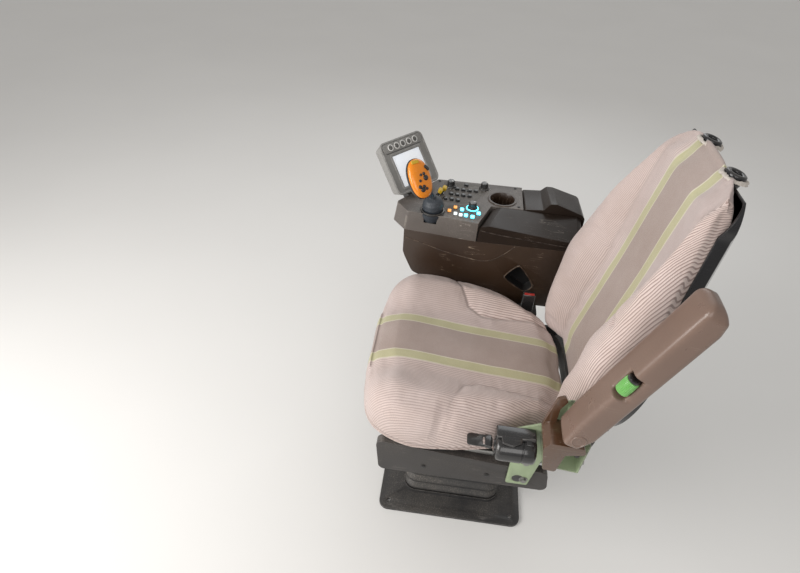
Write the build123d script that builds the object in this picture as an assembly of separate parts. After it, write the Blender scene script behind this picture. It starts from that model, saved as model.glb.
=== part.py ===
from build123d import *
from math import cos, radians, sin, tan
import os

# Operator's seat of a harvester cab with its raised armrest, belt parts and armrest console.
# The seat faces -Y, the operator's left is +X, +Z is up, and all lengths are in millimetres.
# The origin is the centre of the floor bolt pattern, on the underside of the floor plate.

# Floor plate and suspension
floor_w = 390
floor_d = 440
floor_t = 8
floor_corner_r = 30
bolt_span_x = 330
bolt_span_y = 380
bolt_hole_r = 5.5
bellows_w = 250
bellows_d = 300
bellows_corner_r = 40
bellows_rise = 268
pleat_count = 5
pleat_depth = 18
top_frame_w = 330
top_frame_d = 410
top_frame_rim = 22
sheet_t = 4

# Slide rails
rail_x = 130
rail_w = 44
rail_h = 26
rail_wall = 3
rail_slot_w = 26
rail_len = 420
runner_len = 380
runner_neck_h = 12
slide_gap = 0.5

# Seat cushion and what carries it
seat_height = 550
seat_tilt = 5.7
cushion_front = 283
cushion_rear = 262
cushion_half_w = 284
cushion_rear_half_w = 150
cushion_t = 112
bolster_h = 30
trough_half_w = 145
front_roll = 58
edge_roll = 36
pan_inset = 24
pan_rim = 20
cross_tube_r = 14
front_tube_y = -150
rear_tube_y = 150
cross_tube_z = 366
shield_x = 262
shield_depth = 24
shield_wall = 4
seat_gap = 0.3

# Backrest
back_pivot_y = 290
back_pivot_z = 515
back_lean = 10.7
back_top = 692
back_bottom = -15
back_half_w = 262
back_top_half_w = 182
back_face = -18
back_wing = 64
back_foam_rear = 42
shell_depth = 34
shell_taper = 46
shell_wall = 4
shell_lip_y = 20
lip_top = 655
lip_slope = 60
hinge_x = 212
hinge_plate_t = 6
hinge_boss_r = 24
hinge_pin_r = 8
pin_gap = 0.08
hinge_side_gap = 1
frame_bar_r = 9
guide_x = 75
guide_y = 33
guide_tilt = 36

# Left armrest
arm_pivot_y = 222
arm_pivot_z = 662
arm_lean = 22.4
arm_len = 424
arm_w = 79
arm_front = 25
arm_back = 38
arm_end_r = 22
arm_inner_x = 285
arm_pin_r = 9
arm_bracket_x = 264
arm_bracket_t = 6
wheel_r = 15
wheel_len = 36
wheel_at = 186
recess_gap = 5

# Belt retractor
reel_r = 32
reel_y = 113
reel_z = 534
reel_len = 100

# Console
console_inner_x = -307
console_outer_x = -565
console_front = -280
console_rear = 312
console_top = 700
console_bottom = 480
console_wall = 4
console_corner_r = 26
lid_edge_r = 9
deck_top = 764
deck_wall = 4
deck_corner_r = 12
deck_overhang = 15
deck_rear = 122
seam_y = -16
seam_far_y = 22
cup_x = -467
cup_y = 57
cup_r = 40
cup_rim_r = 46
cup_depth = 70
cup_wall = 3
pocket_depth = 40
lid_w = 108
lid_wall = 5
lid_seam = 3
lid_pin_r = 4
lid_pin_z = 728
lid_pin_y = 324
lid_side_gap = 1

# Drive lever
lever_x = -358
lever_y = -156
ball_rise = 16
ball_r = 33
ball_gap = 0.4
socket_r = 37
stalk_r = 8
knee_rise = 46
grip_rise = 93
grip_w = 75
grip_h = 121
grip_t = 20
grip_turn = -48
grip_pitch = 36
lever_z = deck_top + ball_rise
stalk_knee = (lever_x + 10, lever_y - 10, lever_z + knee_rise)
grip_centre = (lever_x + 15, lever_y - 47, lever_z + grip_rise)

# Monitor
monitor_rise = 90
monitor_centre = (-480, -244.5, deck_top + monitor_rise)
monitor_turn = -38
monitor_pitch = 38
monitor_w = 184
monitor_h = 168
monitor_t = 38
monitor_taper = 16
monitor_corner_r = 20
screen_w = 116
screen_h = 100
screen_y = -14
tilt_pin_r = 4
tilt_lug_w = 24
tilt_lug_r = 9
tilt_y = -34
tilt_reach = 12
ear_gap = 1
ear_t = 5

pieces = {}


def block(x, y, z):
    """Box between low and high corners, each axis given as a (low, high) pair."""
    size = [high - low for low, high in (x, y, z)]
    middle = [(high + low) / 2 for low, high in (x, y, z)]
    return Pos(*middle) * Box(*size)


def side_prism(points, x, corner_r=0):
    """Outline of (y, z) points extruded from x[0] to x[1], with its corners rounded."""
    face = Polygon(*points, align=None)
    if corner_r:
        face = fillet(face.vertices(), corner_r)
    return face_prism(face, x)


def face_prism(face, x):
    """Face drawn in (y, z), extruded from x[0] to x[1]."""
    return extrude(Plane.YZ.offset(x[0]) * face, x[1] - x[0], dir=(1, 0, 0))


def plan_prism(face, z):
    """Flat face extruded from z[0] to z[1]."""
    return extrude(Pos(0, 0, z[0]) * face, z[1] - z[0], dir=(0, 0, 1))


def x_rod(y, z, radius, x):
    """Round bar along X at (y, z)."""
    return Pos((x[0] + x[1]) / 2, y, z) * Rot(0, 90, 0) * Cylinder(radius, x[1] - x[0])


def mirrored(shape):
    """The shape and its twin on the other side of the middle plane."""
    return [shape, mirror(shape, Plane.YZ)]


# Floor plate: pressed steel with four bolt holes outside the boot
plate = plan_prism(RectangleRounded(floor_w, floor_d, floor_corner_r), (0, floor_t))
plate -= GridLocations(bolt_span_x, bolt_span_y, 2, 2) * Cylinder(bolt_hole_r, floor_t * 4)
pieces["floor_plate"] = [plate]

# Suspension boot: rubber pleats, each half widening and half narrowing
pleat_h = bellows_rise / pleat_count
pleat_angle = 90 - Vector(pleat_depth, pleat_h / 2, 0).get_angle(Vector(1, 0, 0))
narrow = RectangleRounded(bellows_w - 2 * pleat_depth, bellows_d - 2 * pleat_depth,
                          bellows_corner_r - pleat_depth)
wide = RectangleRounded(bellows_w, bellows_d, bellows_corner_r)
boot = Part()
for pleat in range(pleat_count):
    low = floor_t + pleat * pleat_h
    boot += extrude(Pos(0, 0, low + pleat_h / 2) * wide, pleat_h / 2, taper=pleat_angle)
    boot += extrude(Pos(0, 0, low + pleat_h / 2) * wide, -pleat_h / 2, taper=pleat_angle)
pieces["suspension_boot"] = [boot]

# Upper suspension frame: a tray with a turned-down rim
frame_z = floor_t + bellows_rise
frame_outer = RectangleRounded(top_frame_w, top_frame_d, 24)
frame_inner = RectangleRounded(top_frame_w - 2 * sheet_t, top_frame_d - 2 * sheet_t, 20)
tray = plan_prism(frame_outer, (frame_z - top_frame_rim, frame_z + sheet_t))
tray -= plan_prism(frame_inner, (frame_z - top_frame_rim, frame_z))
pieces["suspension_frame"] = [tray]

# Lower rails: lipped channels. Upper rails: runners held under the lips
rail_z = frame_z + sheet_t
rail_outer = [(-rail_w / 2, 0), (rail_w / 2, 0), (rail_w / 2, rail_h), (rail_slot_w / 2, rail_h),
              (rail_slot_w / 2, rail_h - rail_wall), (rail_w / 2 - rail_wall, rail_h - rail_wall),
              (rail_w / 2 - rail_wall, rail_wall), (-rail_w / 2 + rail_wall, rail_wall),
              (-rail_w / 2 + rail_wall, rail_h - rail_wall), (-rail_slot_w / 2, rail_h - rail_wall),
              (-rail_slot_w / 2, rail_h), (-rail_w / 2, rail_h)]
foot_half = rail_w / 2 - rail_wall - slide_gap
neck_half = rail_slot_w / 2 - slide_gap
foot_top = rail_h - rail_wall - slide_gap
runner_top = rail_h + runner_neck_h
runner_outer = [(-foot_half, rail_wall + slide_gap), (foot_half, rail_wall + slide_gap),
                (foot_half, foot_top), (neck_half, foot_top), (neck_half, runner_top),
                (-neck_half, runner_top), (-neck_half, foot_top), (-foot_half, foot_top)]
for name, outline, length in (("lower_rails", rail_outer, rail_len),
                              ("upper_rails", runner_outer, runner_len)):
    section = Plane.XZ * Polygon(*outline, align=None)
    bar = extrude(section, length / 2, both=True)
    pieces[name] = [Pos(side * rail_x, 0, rail_z) * bar for side in (1, -1)]
runner_z = rail_z + runner_top

# Seat frame: everything in it follows the cushion's tilt about the reference point
seat = Pos(0, 0, seat_height) * Rot(-seat_tilt, 0, 0)


def closed_face(side):
    """Face bounded by the lines and arcs of one side and their mirror image."""
    return make_face(Curve() + side + [mirror(edge, Plane.YZ) for edge in side])


def cushion_outline(inset=0.0):
    """Plan of the cushion: rounded front, widest in its front third, narrow rear."""
    half = cushion_half_w - inset
    rear_half = cushion_rear_half_w - inset
    front = inset - cushion_front
    rear = cushion_rear - inset
    return closed_face([
        Line((0, front), (0.5 * half, front + 6)),
        ThreePointArc((0.5 * half, front + 6), (0.87 * half, front + 48), (half, -150)),
        ThreePointArc((half, -150), (0.985 * half, -40), (0.82 * half, 80)),
        ThreePointArc((0.82 * half, 80), (0.68 * half, 160), (rear_half, rear - 29)),
        Line((rear_half, rear - 29), (rear_half - 40, rear)),
        Line((rear_half - 40, rear), (0, rear))])


pan_z = -cushion_t - seat_gap
pan = plan_prism(cushion_outline(pan_inset), (pan_z - pan_rim, pan_z))
pan -= plan_prism(cushion_outline(pan_inset + sheet_t), (pan_z - pan_rim, pan_z - sheet_t))
pieces["seat_pan"] = [seat * pan]

cushion = plan_prism(cushion_outline(), (-cushion_t, bolster_h))
cushion &= side_prism([(-cushion_front, -cushion_t), (cushion_rear, -cushion_t), (cushion_rear, -edge_roll),
                       (cushion_rear - edge_roll / 2, 0), (cushion_rear - 2 * edge_roll, bolster_h),
                       (-cushion_front + 2 * front_roll, bolster_h), (-cushion_front + front_roll / 2, -8),
                       (-cushion_front, -front_roll)], (-cushion_half_w, cushion_half_w))
bolster_side = [(cushion_half_w, -cushion_t), (cushion_half_w, -edge_roll / 2),
                (cushion_half_w - edge_roll / 3, edge_roll / 3), (cushion_half_w - edge_roll, bolster_h),
                (cushion_half_w - 2 * edge_roll, bolster_h - 4), (trough_half_w, 0)]
across = Polygon(*bolster_side, *[(-x, z) for x, z in reversed(bolster_side)], align=None)
cushion &= extrude(Plane.XZ * across, cushion_front + cushion_rear, both=True)
pieces["seat_cushion"] = [seat * cushion]

# Carrier: two side plates on the runners and two cross tubes
def under_pan(y, drop=0.0):
    """Height at y of a level that is drop below the pan's sheet, less a small gap."""
    below = (pan_z - sheet_t - drop) / cos(radians(seat_tilt))
    return seat_height + below - y * tan(radians(seat_tilt)) - seat_gap


plate_outline = [(-runner_len / 2, runner_z), (runner_len / 2, runner_z),
                 (rear_tube_y + 6, under_pan(rear_tube_y + 6)),
                 (-runner_len / 2, under_pan(-runner_len / 2))]
carrier = Part()
for side in (1, -1):
    wall = (side * rail_x - sheet_t / 2, side * rail_x + sheet_t / 2)
    carrier += side_prism(plate_outline, wall)
    carrier += block((side * rail_x - neck_half, side * rail_x + neck_half),
                     (-runner_len / 2, runner_len / 2), (runner_z, runner_z + sheet_t))
inside_shield = shield_x - shield_wall - seat_gap
arm_bracket_out = arm_bracket_x + arm_bracket_t
carrier += x_rod(front_tube_y, cross_tube_z, cross_tube_r, (-inside_shield, inside_shield))
carrier += x_rod(rear_tube_y, cross_tube_z, cross_tube_r, (-arm_bracket_out, arm_bracket_out))
pieces["seat_carrier"] = [carrier]

# Side shields: moulded covers over the carrier's ends, open inwards
shield_low = 316
shield_outline = [(-215, shield_low), (235, shield_low), (225, under_pan(225, pan_rim)),
                  (-225, under_pan(-225, pan_rim))]
shield_face = fillet(Polygon(*shield_outline, align=None).vertices(), 18)
shield_in = shield_x - shield_depth
shield = face_prism(shield_face, (shield_in, shield_x))
shield -= face_prism(offset(shield_face, -shield_wall), (shield_in, shield_x - shield_wall))
tube_hole_r = cross_tube_r + seat_gap
shield -= x_rod(rear_tube_y, cross_tube_z, tube_hole_r, (shield_in, shield_x + 1))
pieces["side_shields"] = mirrored(shield)

# Slide handle: a bent bar under the front edge
handle_x = rail_x - sheet_t / 2 - seat_gap - 5
handle_z = runner_z + sheet_t + seat_gap + 5
handle_path = FilletPolyline((handle_x, -120, handle_z), (handle_x, -262, handle_z),
                             (-handle_x, -262, handle_z), (-handle_x, -120, handle_z), radius=24)
handle_plane = Plane(origin=handle_path @ 0, z_dir=handle_path % 0)
pieces["slide_handle"] = [sweep(handle_plane * Circle(5), path=handle_path)]

# Recline brackets on the seat, reaching back and up to the hinge
bracket_in = hinge_x
bracket_out = hinge_x + hinge_plate_t
bracket_outline = [(124, 344), (190, 344), (back_pivot_y + 22, back_pivot_z - 16),
                   (back_pivot_y + 14, back_pivot_z + 14), (back_pivot_y - 20, back_pivot_z + 10),
                   (196, 400), (124, 390)]
bracket = side_prism(bracket_outline, (bracket_in, bracket_out), 6)
bracket += x_rod(back_pivot_y, back_pivot_z, hinge_boss_r, (bracket_in, bracket_out))
bracket -= x_rod(rear_tube_y, cross_tube_z, tube_hole_r, (bracket_in - 1, bracket_out + 1))
bracket -= x_rod(back_pivot_y, back_pivot_z, hinge_pin_r + pin_gap, (bracket_in - 1, bracket_out + 1))
pieces["recline_brackets"] = mirrored(bracket)

# Backrest frame of reference: x across, y to the rear, z up along the back from the hinge
back = Pos(0, back_pivot_y, back_pivot_z) * Rot(-back_lean, 0, 0)


def back_outline(inset=0.0):
    """Front view of the backrest in (x, z): rounded foot, wide wings, narrow top."""
    half = back_half_w - inset
    top_half = back_top_half_w - inset
    top = back_top - inset
    bottom = back_bottom + inset
    return closed_face([
        Line((0, bottom), (148 - inset, bottom)),
        ThreePointArc((148 - inset, bottom), (203 - inset, 30 + inset), (half - 14, 105)),
        ThreePointArc((half - 14, 105), (half, 180), (half - 8, 270)),
        Line((half - 8, 270), (top_half + 8, 590)),
        ThreePointArc((top_half + 8, 590), (top_half - 8, top - 32), (top_half - 64, top - 8)),
        ThreePointArc((top_half - 64, top - 8), (60, top - 2), (0, top))])


back_plane = Plane(origin=(0, 0, 0), x_dir=(1, 0, 0), z_dir=(0, -1, 0))
wing_face = back_face - back_wing
foam = extrude(back_plane * back_outline(), 120, both=True)
foam_side = Polygon((back_foam_rear, back_bottom - 5), (back_face - 8, back_bottom - 5),
                    (wing_face + 14, 50), (wing_face, 140), (wing_face, 250),
                    (wing_face + 12, 420), (back_face - 38, 540), (back_face - 20, 620), (back_face, 666),
                    (6, back_top + 2),
                    (back_foam_rear, back_top - 26), align=None)
foam &= face_prism(foam_side, (-300, 300))
wing_side = [(back_half_w, back_foam_rear), (back_half_w, wing_face + 26), (back_half_w - 10, wing_face + 10),
             (back_half_w - 30, wing_face), (back_half_w - 50, wing_face + 4), (128, back_face)]
foam &= plan_prism(Polygon(*wing_side, *[(-x, y) for x, y in reversed(wing_side)], align=None), (-50, 750))
relief = block((hinge_x - 16, 300), (-70, 100), (-60, 46))
relief += block((hinge_x - 16, hinge_x + 14), (4, 100), (0, 80))
for cut in mirrored(relief):
    foam -= cut
lip_zone = face_prism(Polygon((shell_lip_y - seat_gap, back_bottom - 10), (100, back_bottom - 10), (100, lip_top),
                              (back_foam_rear, lip_top), (shell_lip_y - seat_gap, lip_top - lip_slope),
                              align=None), (-300, 300))
lip_core = extrude(back_plane * back_outline(shell_wall + seat_gap), 120, both=True)
foam -= lip_zone - lip_core
pieces["back_cushion"] = [back * foam]

# Back shell: a dished moulding whose lip wraps the foam's sides and ends below the top
shell_front = back_foam_rear + seat_gap
lip_rear = shell_front + shell_wall
shell_rear = shell_front + shell_depth
shell_top = back_top - 28


def dished(inset, rear):
    """Form with upright sides as far as lip_rear, then drawn in by shell_taper to rear."""
    rim = back_plane.offset(-lip_rear) * back_outline(inset)
    floor = back_plane.offset(-rear) * back_outline(inset + shell_taper)
    return extrude(rim, lip_rear - shell_lip_y, dir=(0, -1, 0)) + loft([rim, floor], ruled=True)


def below_top(inset):
    """Side limit of the shell: behind the foam it ends in a slope under the headrest guides."""
    top = shell_top - inset
    return face_prism(Polygon((shell_front, back_bottom - 10), (shell_rear, back_bottom - 10),
                              (shell_rear, top - shell_taper), (lip_rear, top), (shell_front, top),
                              align=None), (-300, 300))


def lip_side(gap):
    """Side view of the zone where the shell's lip wraps the foam, less a gap at its top."""
    return face_prism(Polygon((shell_lip_y, back_bottom - 10), (shell_front, back_bottom - 10),
                              (shell_front, lip_top - gap), (shell_lip_y, lip_top - lip_slope - gap),
                              align=None), (-300, 300))


shell_form = dished(0, shell_rear)
shell = (shell_form & below_top(0)) + (shell_form & lip_side(seat_gap))
shell_core = dished(shell_wall, shell_rear - shell_wall)
shell -= (shell_core & below_top(shell_wall)) + (shell_core & lip_side(0))
shell_slot = block((hinge_x - 14, hinge_x + 12), (shell_front - 1, 150), (-60, 90))
shell_slot += block((hinge_x - 16, 300), (shell_lip_y - 5, 150), (-60, 50))
for cut in mirrored(shell_slot):
    shell -= cut
pieces["back_shell"] = [back * shell]

# Back frame: two hinge arms with their pins, joined by a cross tube inside the shell
arm_out = hinge_x - hinge_side_gap
arm_in = arm_out - hinge_plate_t
frame_front = shell_front + seat_gap
hinge_arm = side_prism([(-18, -16), (16, -18), (frame_front + 12, 24), (frame_front + 12, 300),
                        (frame_front, 300), (frame_front, 66), (-16, 16)], (arm_in, arm_out), 5)
hinge_arm += x_rod(0, 0, hinge_boss_r, (arm_in, arm_out))
hinge_arm += x_rod(0, 0, hinge_pin_r, (arm_in, bracket_out + 5))
frame_bars = Part() + mirrored(hinge_arm)
for bar_z in (110, 286):
    frame_bars += x_rod(frame_front + frame_bar_r, bar_z, frame_bar_r, (-arm_in, arm_in))
pieces["back_frame"] = [back * frame_bars]

# Headrest guides: two oval bushes in the top edge
guide = extrude(SlotOverall(46, 24), 8) - extrude(SlotOverall(30, 10), 8)
guide_z = back_top - 18.5
pieces["headrest_guides"] = [back * Pos(side * guide_x, guide_y, guide_z) * Rot(-guide_tilt, 0, 0)
                             * guide for side in (1, -1)]

# Armrest bracket: steel plate outside the shield, up to the armrest's pivot pin
arm_bracket_outline = [(122, 342), (178, 342), (206, 520), (arm_pivot_y + 20, arm_pivot_z - 6),
                       (arm_pivot_y + 10, arm_pivot_z + 16), (arm_pivot_y - 16, arm_pivot_z + 12),
                       (180, 596), (104, 584), (98, 520), (122, 440)]
arm_bracket = side_prism(arm_bracket_outline, (arm_bracket_x, arm_bracket_out), 6)
arm_bracket += x_rod(arm_pivot_y, arm_pivot_z, 22, (arm_bracket_x, arm_bracket_out))
arm_bracket -= x_rod(rear_tube_y, cross_tube_z, tube_hole_r, (arm_bracket_x - 1, arm_bracket_out + 1))
arm_bracket += x_rod(arm_pivot_y, arm_pivot_z, arm_pin_r, (arm_bracket_out, arm_inner_x + 30))
flange_y = 270
flange_t = 4
flange_w = 56
flange_outline = [(206, 500), (flange_y, 492), (flange_y + 6, 596), (flange_y + 6 - flange_t, 596),
                  (flange_y - flange_t, 496), (206, 504)]
arm_bracket += side_prism(flange_outline, (arm_bracket_x, arm_bracket_x + flange_w))
arm_bracket += side_prism([(150, 470), (flange_y, 492), (flange_y + 6, 596), (206, 560)],
                          (arm_bracket_x, arm_bracket_out))
pieces["armrest_bracket"] = [arm_bracket]

# Armrest: a long moulding, drawn in its own frame with z along its length
arm = Pos(0, arm_pivot_y, arm_pivot_z) * Rot(-arm_lean, 0, 0)
arm_outer_x = arm_inner_x + arm_w
arm_outline = [(-arm_front + 6, -24), (18, -26), (arm_back, 20), (arm_back, arm_len - 46),
               (10, arm_len), (-arm_front, arm_len - 10), (-arm_front, 40)]
arm_body = side_prism(arm_outline, (arm_inner_x, arm_outer_x), 8)
arm_front_view = Polygon((arm_inner_x, -60), (arm_outer_x, -60), (arm_outer_x, arm_len), (arm_inner_x, arm_len),
                         align=None)
arm_front_view = fillet(arm_front_view.vertices(), arm_end_r)
arm_body &= extrude(Plane.XZ * arm_front_view, 100, both=True)
arm_body += x_rod(0, 0, 20, (arm_bracket_out + hinge_side_gap, arm_inner_x + 1))
arm_body -= x_rod(0, 0, arm_pin_r + pin_gap, (arm_bracket_out, arm_inner_x + 32))
wheel_x = arm_outer_x - 13
wheel_y = -arm_front + 12
cap_t = 6
wheel_stop = wheel_len / 2 + cap_t
recess = Pos(wheel_x, wheel_y, wheel_at) * Cylinder(wheel_r + recess_gap, 2 * (wheel_stop + recess_gap))
pieces["armrest_body"] = [arm * (arm_body - recess)]
wheel_pin = Pos(wheel_x, wheel_y, wheel_at) * Cylinder(4, 2 * (wheel_stop + recess_gap))
wheel = Pos(wheel_x, wheel_y, wheel_at) * Cylinder(wheel_r, wheel_len)
wheel_cap = Pos(wheel_x, wheel_y, wheel_at + (wheel_len + cap_t) / 2) * Cylinder(wheel_r - 2, cap_t)
pieces["armrest_wheel"] = [arm * (wheel - wheel_pin)]
pieces["armrest_wheel_cap"] = [arm * (wheel_cap + wheel_pin)]

# Armrest hinge cover: a moulded hood in front of the bracket, with an ear beside the hinge
cover_x = (arm_bracket_out + seat_gap, arm_outer_x - 20)
cover_outline = [(166, 600), (178, 524), (208, 520), (218, 584), (262, 594), (256, 614), (180, 620)]
cover = side_prism(cover_outline, cover_x, 6)
core_outline = offset(Polygon(*cover_outline, align=None), -4, kind=Kind.INTERSECTION)
cover -= Pos(0, 0, -3) * face_prism(core_outline, (cover_x[0] - 1, cover_x[1] - 4))
ear_x = (cover_x[0], arm_inner_x - 5.5)
cover += side_prism([(166, 600), (196, 600), (196, 664), (208, 690), (200, 704), (184, 694)], ear_x, 5)
pieces["armrest_cover"] = [cover]

# Belt retractor with its barrel lying fore and aft, its tongue, and the buckle on its stalk
reel_x = arm_bracket_out + seat_gap + reel_r + 3
reel = Pos(reel_x, reel_y, reel_z) * Rot(90, 0, 0) * Cylinder(reel_r, reel_len)
reel += block((arm_bracket_out + seat_gap, reel_x), (reel_y - reel_len / 2, reel_y + reel_len / 2),
              (reel_z - 20, reel_z + reel_r + 8))
pieces["belt_retractor"] = [reel]
tongue_face = RectangleRounded(62, 34, 8) - Pos(-12, 0) * SlotOverall(24, 6, rotation=90)
tongue_y = reel_y - reel_len / 2 - 31 - seat_gap
tongue = Pos(reel_x - 12, tongue_y, reel_z - 2) * extrude(Rot(0, 0, 90) * tongue_face, 4)
pieces["belt_tongue"] = [tongue]
buckle_x = -234
stalk = side_prism([(128, 344), (172, 344), (174, 520), (156, 520)], (buckle_x - 2, buckle_x + 2), 4)
stalk -= x_rod(rear_tube_y, cross_tube_z, tube_hole_r, (buckle_x - 3, buckle_x + 3))
pieces["buckle_stalk"] = [stalk]
buckle = block((buckle_x - 12, buckle_x + 12), (146, 184), (520 + seat_gap, 590))
pieces["belt_buckle"] = [fillet(buckle.edges().filter_by(Axis.Z), 6)]

# Console bracket: folded plate from the rear tube out under the console
console_bracket = block((-arm_bracket_out, -arm_bracket_x), (108, 208), (342, console_bottom - seat_gap))
console_bracket += block((console_outer_x + 60, -arm_bracket_x), (108, 208),
                         (console_bottom - 6, console_bottom - seat_gap))
console_bracket -= x_rod(rear_tube_y, cross_tube_z, tube_hole_r, (-arm_bracket_out - 1, -arm_bracket_x + 1))
pieces["console_bracket"] = [console_bracket]

# Console body: an open-topped moulding, narrower in front, with a curved lower edge
body_outline = [(console_front - 10, console_top), (console_front - 10, 672), (-245, 640), (-231, 600),
                (-205, 546), (-80, 498), (40, console_bottom), (260, console_bottom),
                (console_rear, 530), (console_rear, console_top)]
front_plan = [(console_inner_x, -2), (-320, -120), (-333, -238)]
body_outer_x = console_outer_x + deck_overhang
console_plan = front_plan + [(-425, -238), (body_outer_x, -146), (body_outer_x, console_rear),
                             (console_inner_x, console_rear)]


def rounded(face, radius, chosen):
    """The flat face with its chosen corners rounded."""
    return fillet([corner for corner in face.vertices() if chosen(corner)], radius)


def console_solid(inset, top):
    """Console body's form, drawn in from its walls and open above if top is raised."""
    side = Polygon(*body_outline, align=None)
    plan = Polygon(*console_plan, align=None)
    if inset:
        side = offset(side, -inset, kind=Kind.INTERSECTION)
        plan = offset(plan, -inset, kind=Kind.INTERSECTION)
    side = rounded(side, console_corner_r - inset, lambda at: at.Y < console_top - 60)
    plan = rounded(plan, console_corner_r - inset, lambda at: at.X < (console_inner_x + console_outer_x) / 2)
    form = face_prism(side, (console_outer_x - 10, console_inner_x + 10))
    if top:
        form += Pos(0, 0, top) * form
    return form & plan_prism(plan, (console_bottom - 10, console_top + 50))


pocket_outline = [(83, 579), (160, 527), (188, 557), (129, 636)]
body = console_solid(0, 0) - console_solid(console_wall, console_wall + 1)
body -= side_prism(pocket_outline, (console_inner_x - pocket_depth, console_inner_x + 1), 8)
lug_outline = [(console_rear - 1, 690), (console_rear + 6, 690), (lid_pin_y + 8, lid_pin_z),
               (lid_pin_y, lid_pin_z + 8), (console_rear - 1, lid_pin_z - 10)]
lid_x = (console_inner_x - lid_w, console_inner_x)
lug_x = (lid_x[0] + 25, lid_x[1] - 25)
body += side_prism(lug_outline, (lug_x[0] - 6, lug_x[0]))
body += side_prism(lug_outline, (lug_x[1], lug_x[1] + 6))
body += x_rod(lid_pin_y, lid_pin_z, lid_pin_r, (lug_x[0] - 6, lug_x[1] + 6))
pieces["console_body"] = [body]
pocket_face = fillet(Polygon(*pocket_outline, align=None).vertices(), 8)
liner = face_prism(offset(pocket_face, -seat_gap), (console_inner_x - pocket_depth, console_inner_x))
liner -= face_prism(offset(pocket_face, -3), (console_inner_x - pocket_depth + 3, console_inner_x + 1))
pieces["side_pocket"] = [liner]


def tapered(plans, z, inset=0.0):
    """Solid between two plan outlines at the heights z, drawn in by inset."""
    faces = [Polygon(*plan, align=None) for plan in plans]
    if inset:
        faces = [offset(face, -inset, kind=Kind.INTERSECTION) for face in faces]
    faces = [rounded(face, deck_corner_r - inset, lambda at: at.Y < -125 and at.X < -330) for face in faces]
    return loft([Pos(0, 0, at) * face for at, face in zip(z, faces)], ruled=True)


def cover_between(near, far, x, wall):
    """Cover open below, lofted from the (y, z) outline far at x[0] to near at x[1]."""
    faces = [Polygon(*outline, align=None) for outline in (far, near)]
    cores = [offset(face, -wall, kind=Kind.INTERSECTION) for face in faces]
    faces = [rounded(face, lid_edge_r, lambda at: at.Y > console_top + lid_edge_r) for face in faces]
    outside = loft([Plane.YZ.offset(at) * face for at, face in zip(x, faces)], ruled=True)
    core_x = (x[0] + wall, x[1] - wall)
    inside = loft([Plane.YZ.offset(at) * face for at, face in zip(core_x, cores)], ruled=True)
    return outside - inside - Pos(0, 0, -wall) * inside


# Control deck: hollow cover with sloping walls, its top cut for the cup and the lever
deck_split_x = lid_x[0] - lid_seam
deck_low = console_top + seat_gap
seam_near = (console_inner_x, seam_y)
seam_far = (deck_split_x, seam_far_y)
deck_foot = [seam_near] + front_plan[1:] + [(-386, console_front), (console_outer_x, -158),
                                            (console_outer_x, deck_rear), (deck_split_x, deck_rear),
                                            seam_far]
deck_brow = [seam_near, (-323, -119), (-338, -232), (-389, -270), (console_outer_x + 6, -154),
             (console_outer_x + 6, deck_rear), (deck_split_x, deck_rear), seam_far]
deck_form = tapered((deck_foot, deck_brow), (deck_low, deck_top))
deck = deck_form - tapered((deck_foot, deck_brow), (deck_low - deck_wall, deck_top - deck_wall), deck_wall)
deck -= Pos(cup_x, cup_y, deck_top) * Cylinder(cup_r + seat_gap, 40)
deck -= Pos(lever_x, lever_y, deck_top) * Cylinder(socket_r, 60)
pieces["control_deck"] = [deck]

standing = (Align.CENTER, Align.CENTER, Align.MIN)
cup_low = deck_top - cup_depth
cup = Pos(cup_x, cup_y, cup_low) * Cylinder(cup_r, cup_depth, align=standing)
cup += Pos(cup_x, cup_y, deck_top - 1) * Cylinder(cup_r, 2, align=standing)
cup += Pos(cup_x, cup_y, deck_top + seat_gap) * Cylinder(cup_rim_r, 3, align=standing)
cup -= Pos(cup_x, cup_y, cup_low + cup_wall) * Cylinder(cup_r - cup_wall, cup_depth + 10, align=standing)
pieces["cup_holder"] = [cup]

# Rear cap: fixed cover outside the lid, with a raised hump
cap_x = (console_outer_x, deck_split_x)
cap_near = [(deck_rear + 2, deck_low), (console_rear, deck_low), (console_rear, 752), (302, 764),
            (220, 793), (200, 792), (184, 769), (deck_rear + 2, 764)]
cap_far = [(deck_rear + 2, deck_low), (console_rear, deck_low), (console_rear, 742), (302, 750),
           (220, 774), (200, 774), (184, 758), (deck_rear + 2, 754)]
pieces["console_rear_cap"] = [cover_between(cap_near, cap_far, cap_x, deck_wall)]

# Buttons, knobs and small levers on the deck, each table row an (x, y) place
button_r = 6
button_h = 6
button_table = [(-433, -123), (-432, -103), (-429, -83), (-467, -106), (-464, -87), (-464, -67),
                (-463, -47), (-502, -88), (-499, -68), (-498, -48), (-499, -28), (-533, -60)]
knob_r = 12
knob_h = 17
knob_table = [(-518, -110), (-524, -2)]
key_w = 14
key_d = 10
key_h = 4
key_table = [(-348, -86), (-343, -70), (-343, -54), (-339, -34), (-375, -67), (-362, -16),
             (-385, -88), (-362, -105)]
on_deck = deck_top + seat_gap
pieces["push_buttons"] = [Pos(x, y, on_deck) * Cylinder(button_r, button_h, align=standing)
                          for x, y in button_table]
pieces["rotary_knobs"] = [Pos(x, y, on_deck) * Cylinder(knob_r, knob_h, align=standing)
                          for x, y in knob_table]
pieces["lit_knob"] = [Pos(-392, -36, on_deck) * Cylinder(knob_r, knob_h, align=standing)]
pieces["lit_keys"] = [Pos(x, y, on_deck) * Box(key_w, key_d, key_h, align=standing)
                      for x, y in key_table]
pieces["selector_levers"] = [Pos(x, y, on_deck) * Box(11, 8, 22, align=standing)
                             for x, y in ((-448, -150), (-466, -138))]

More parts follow.
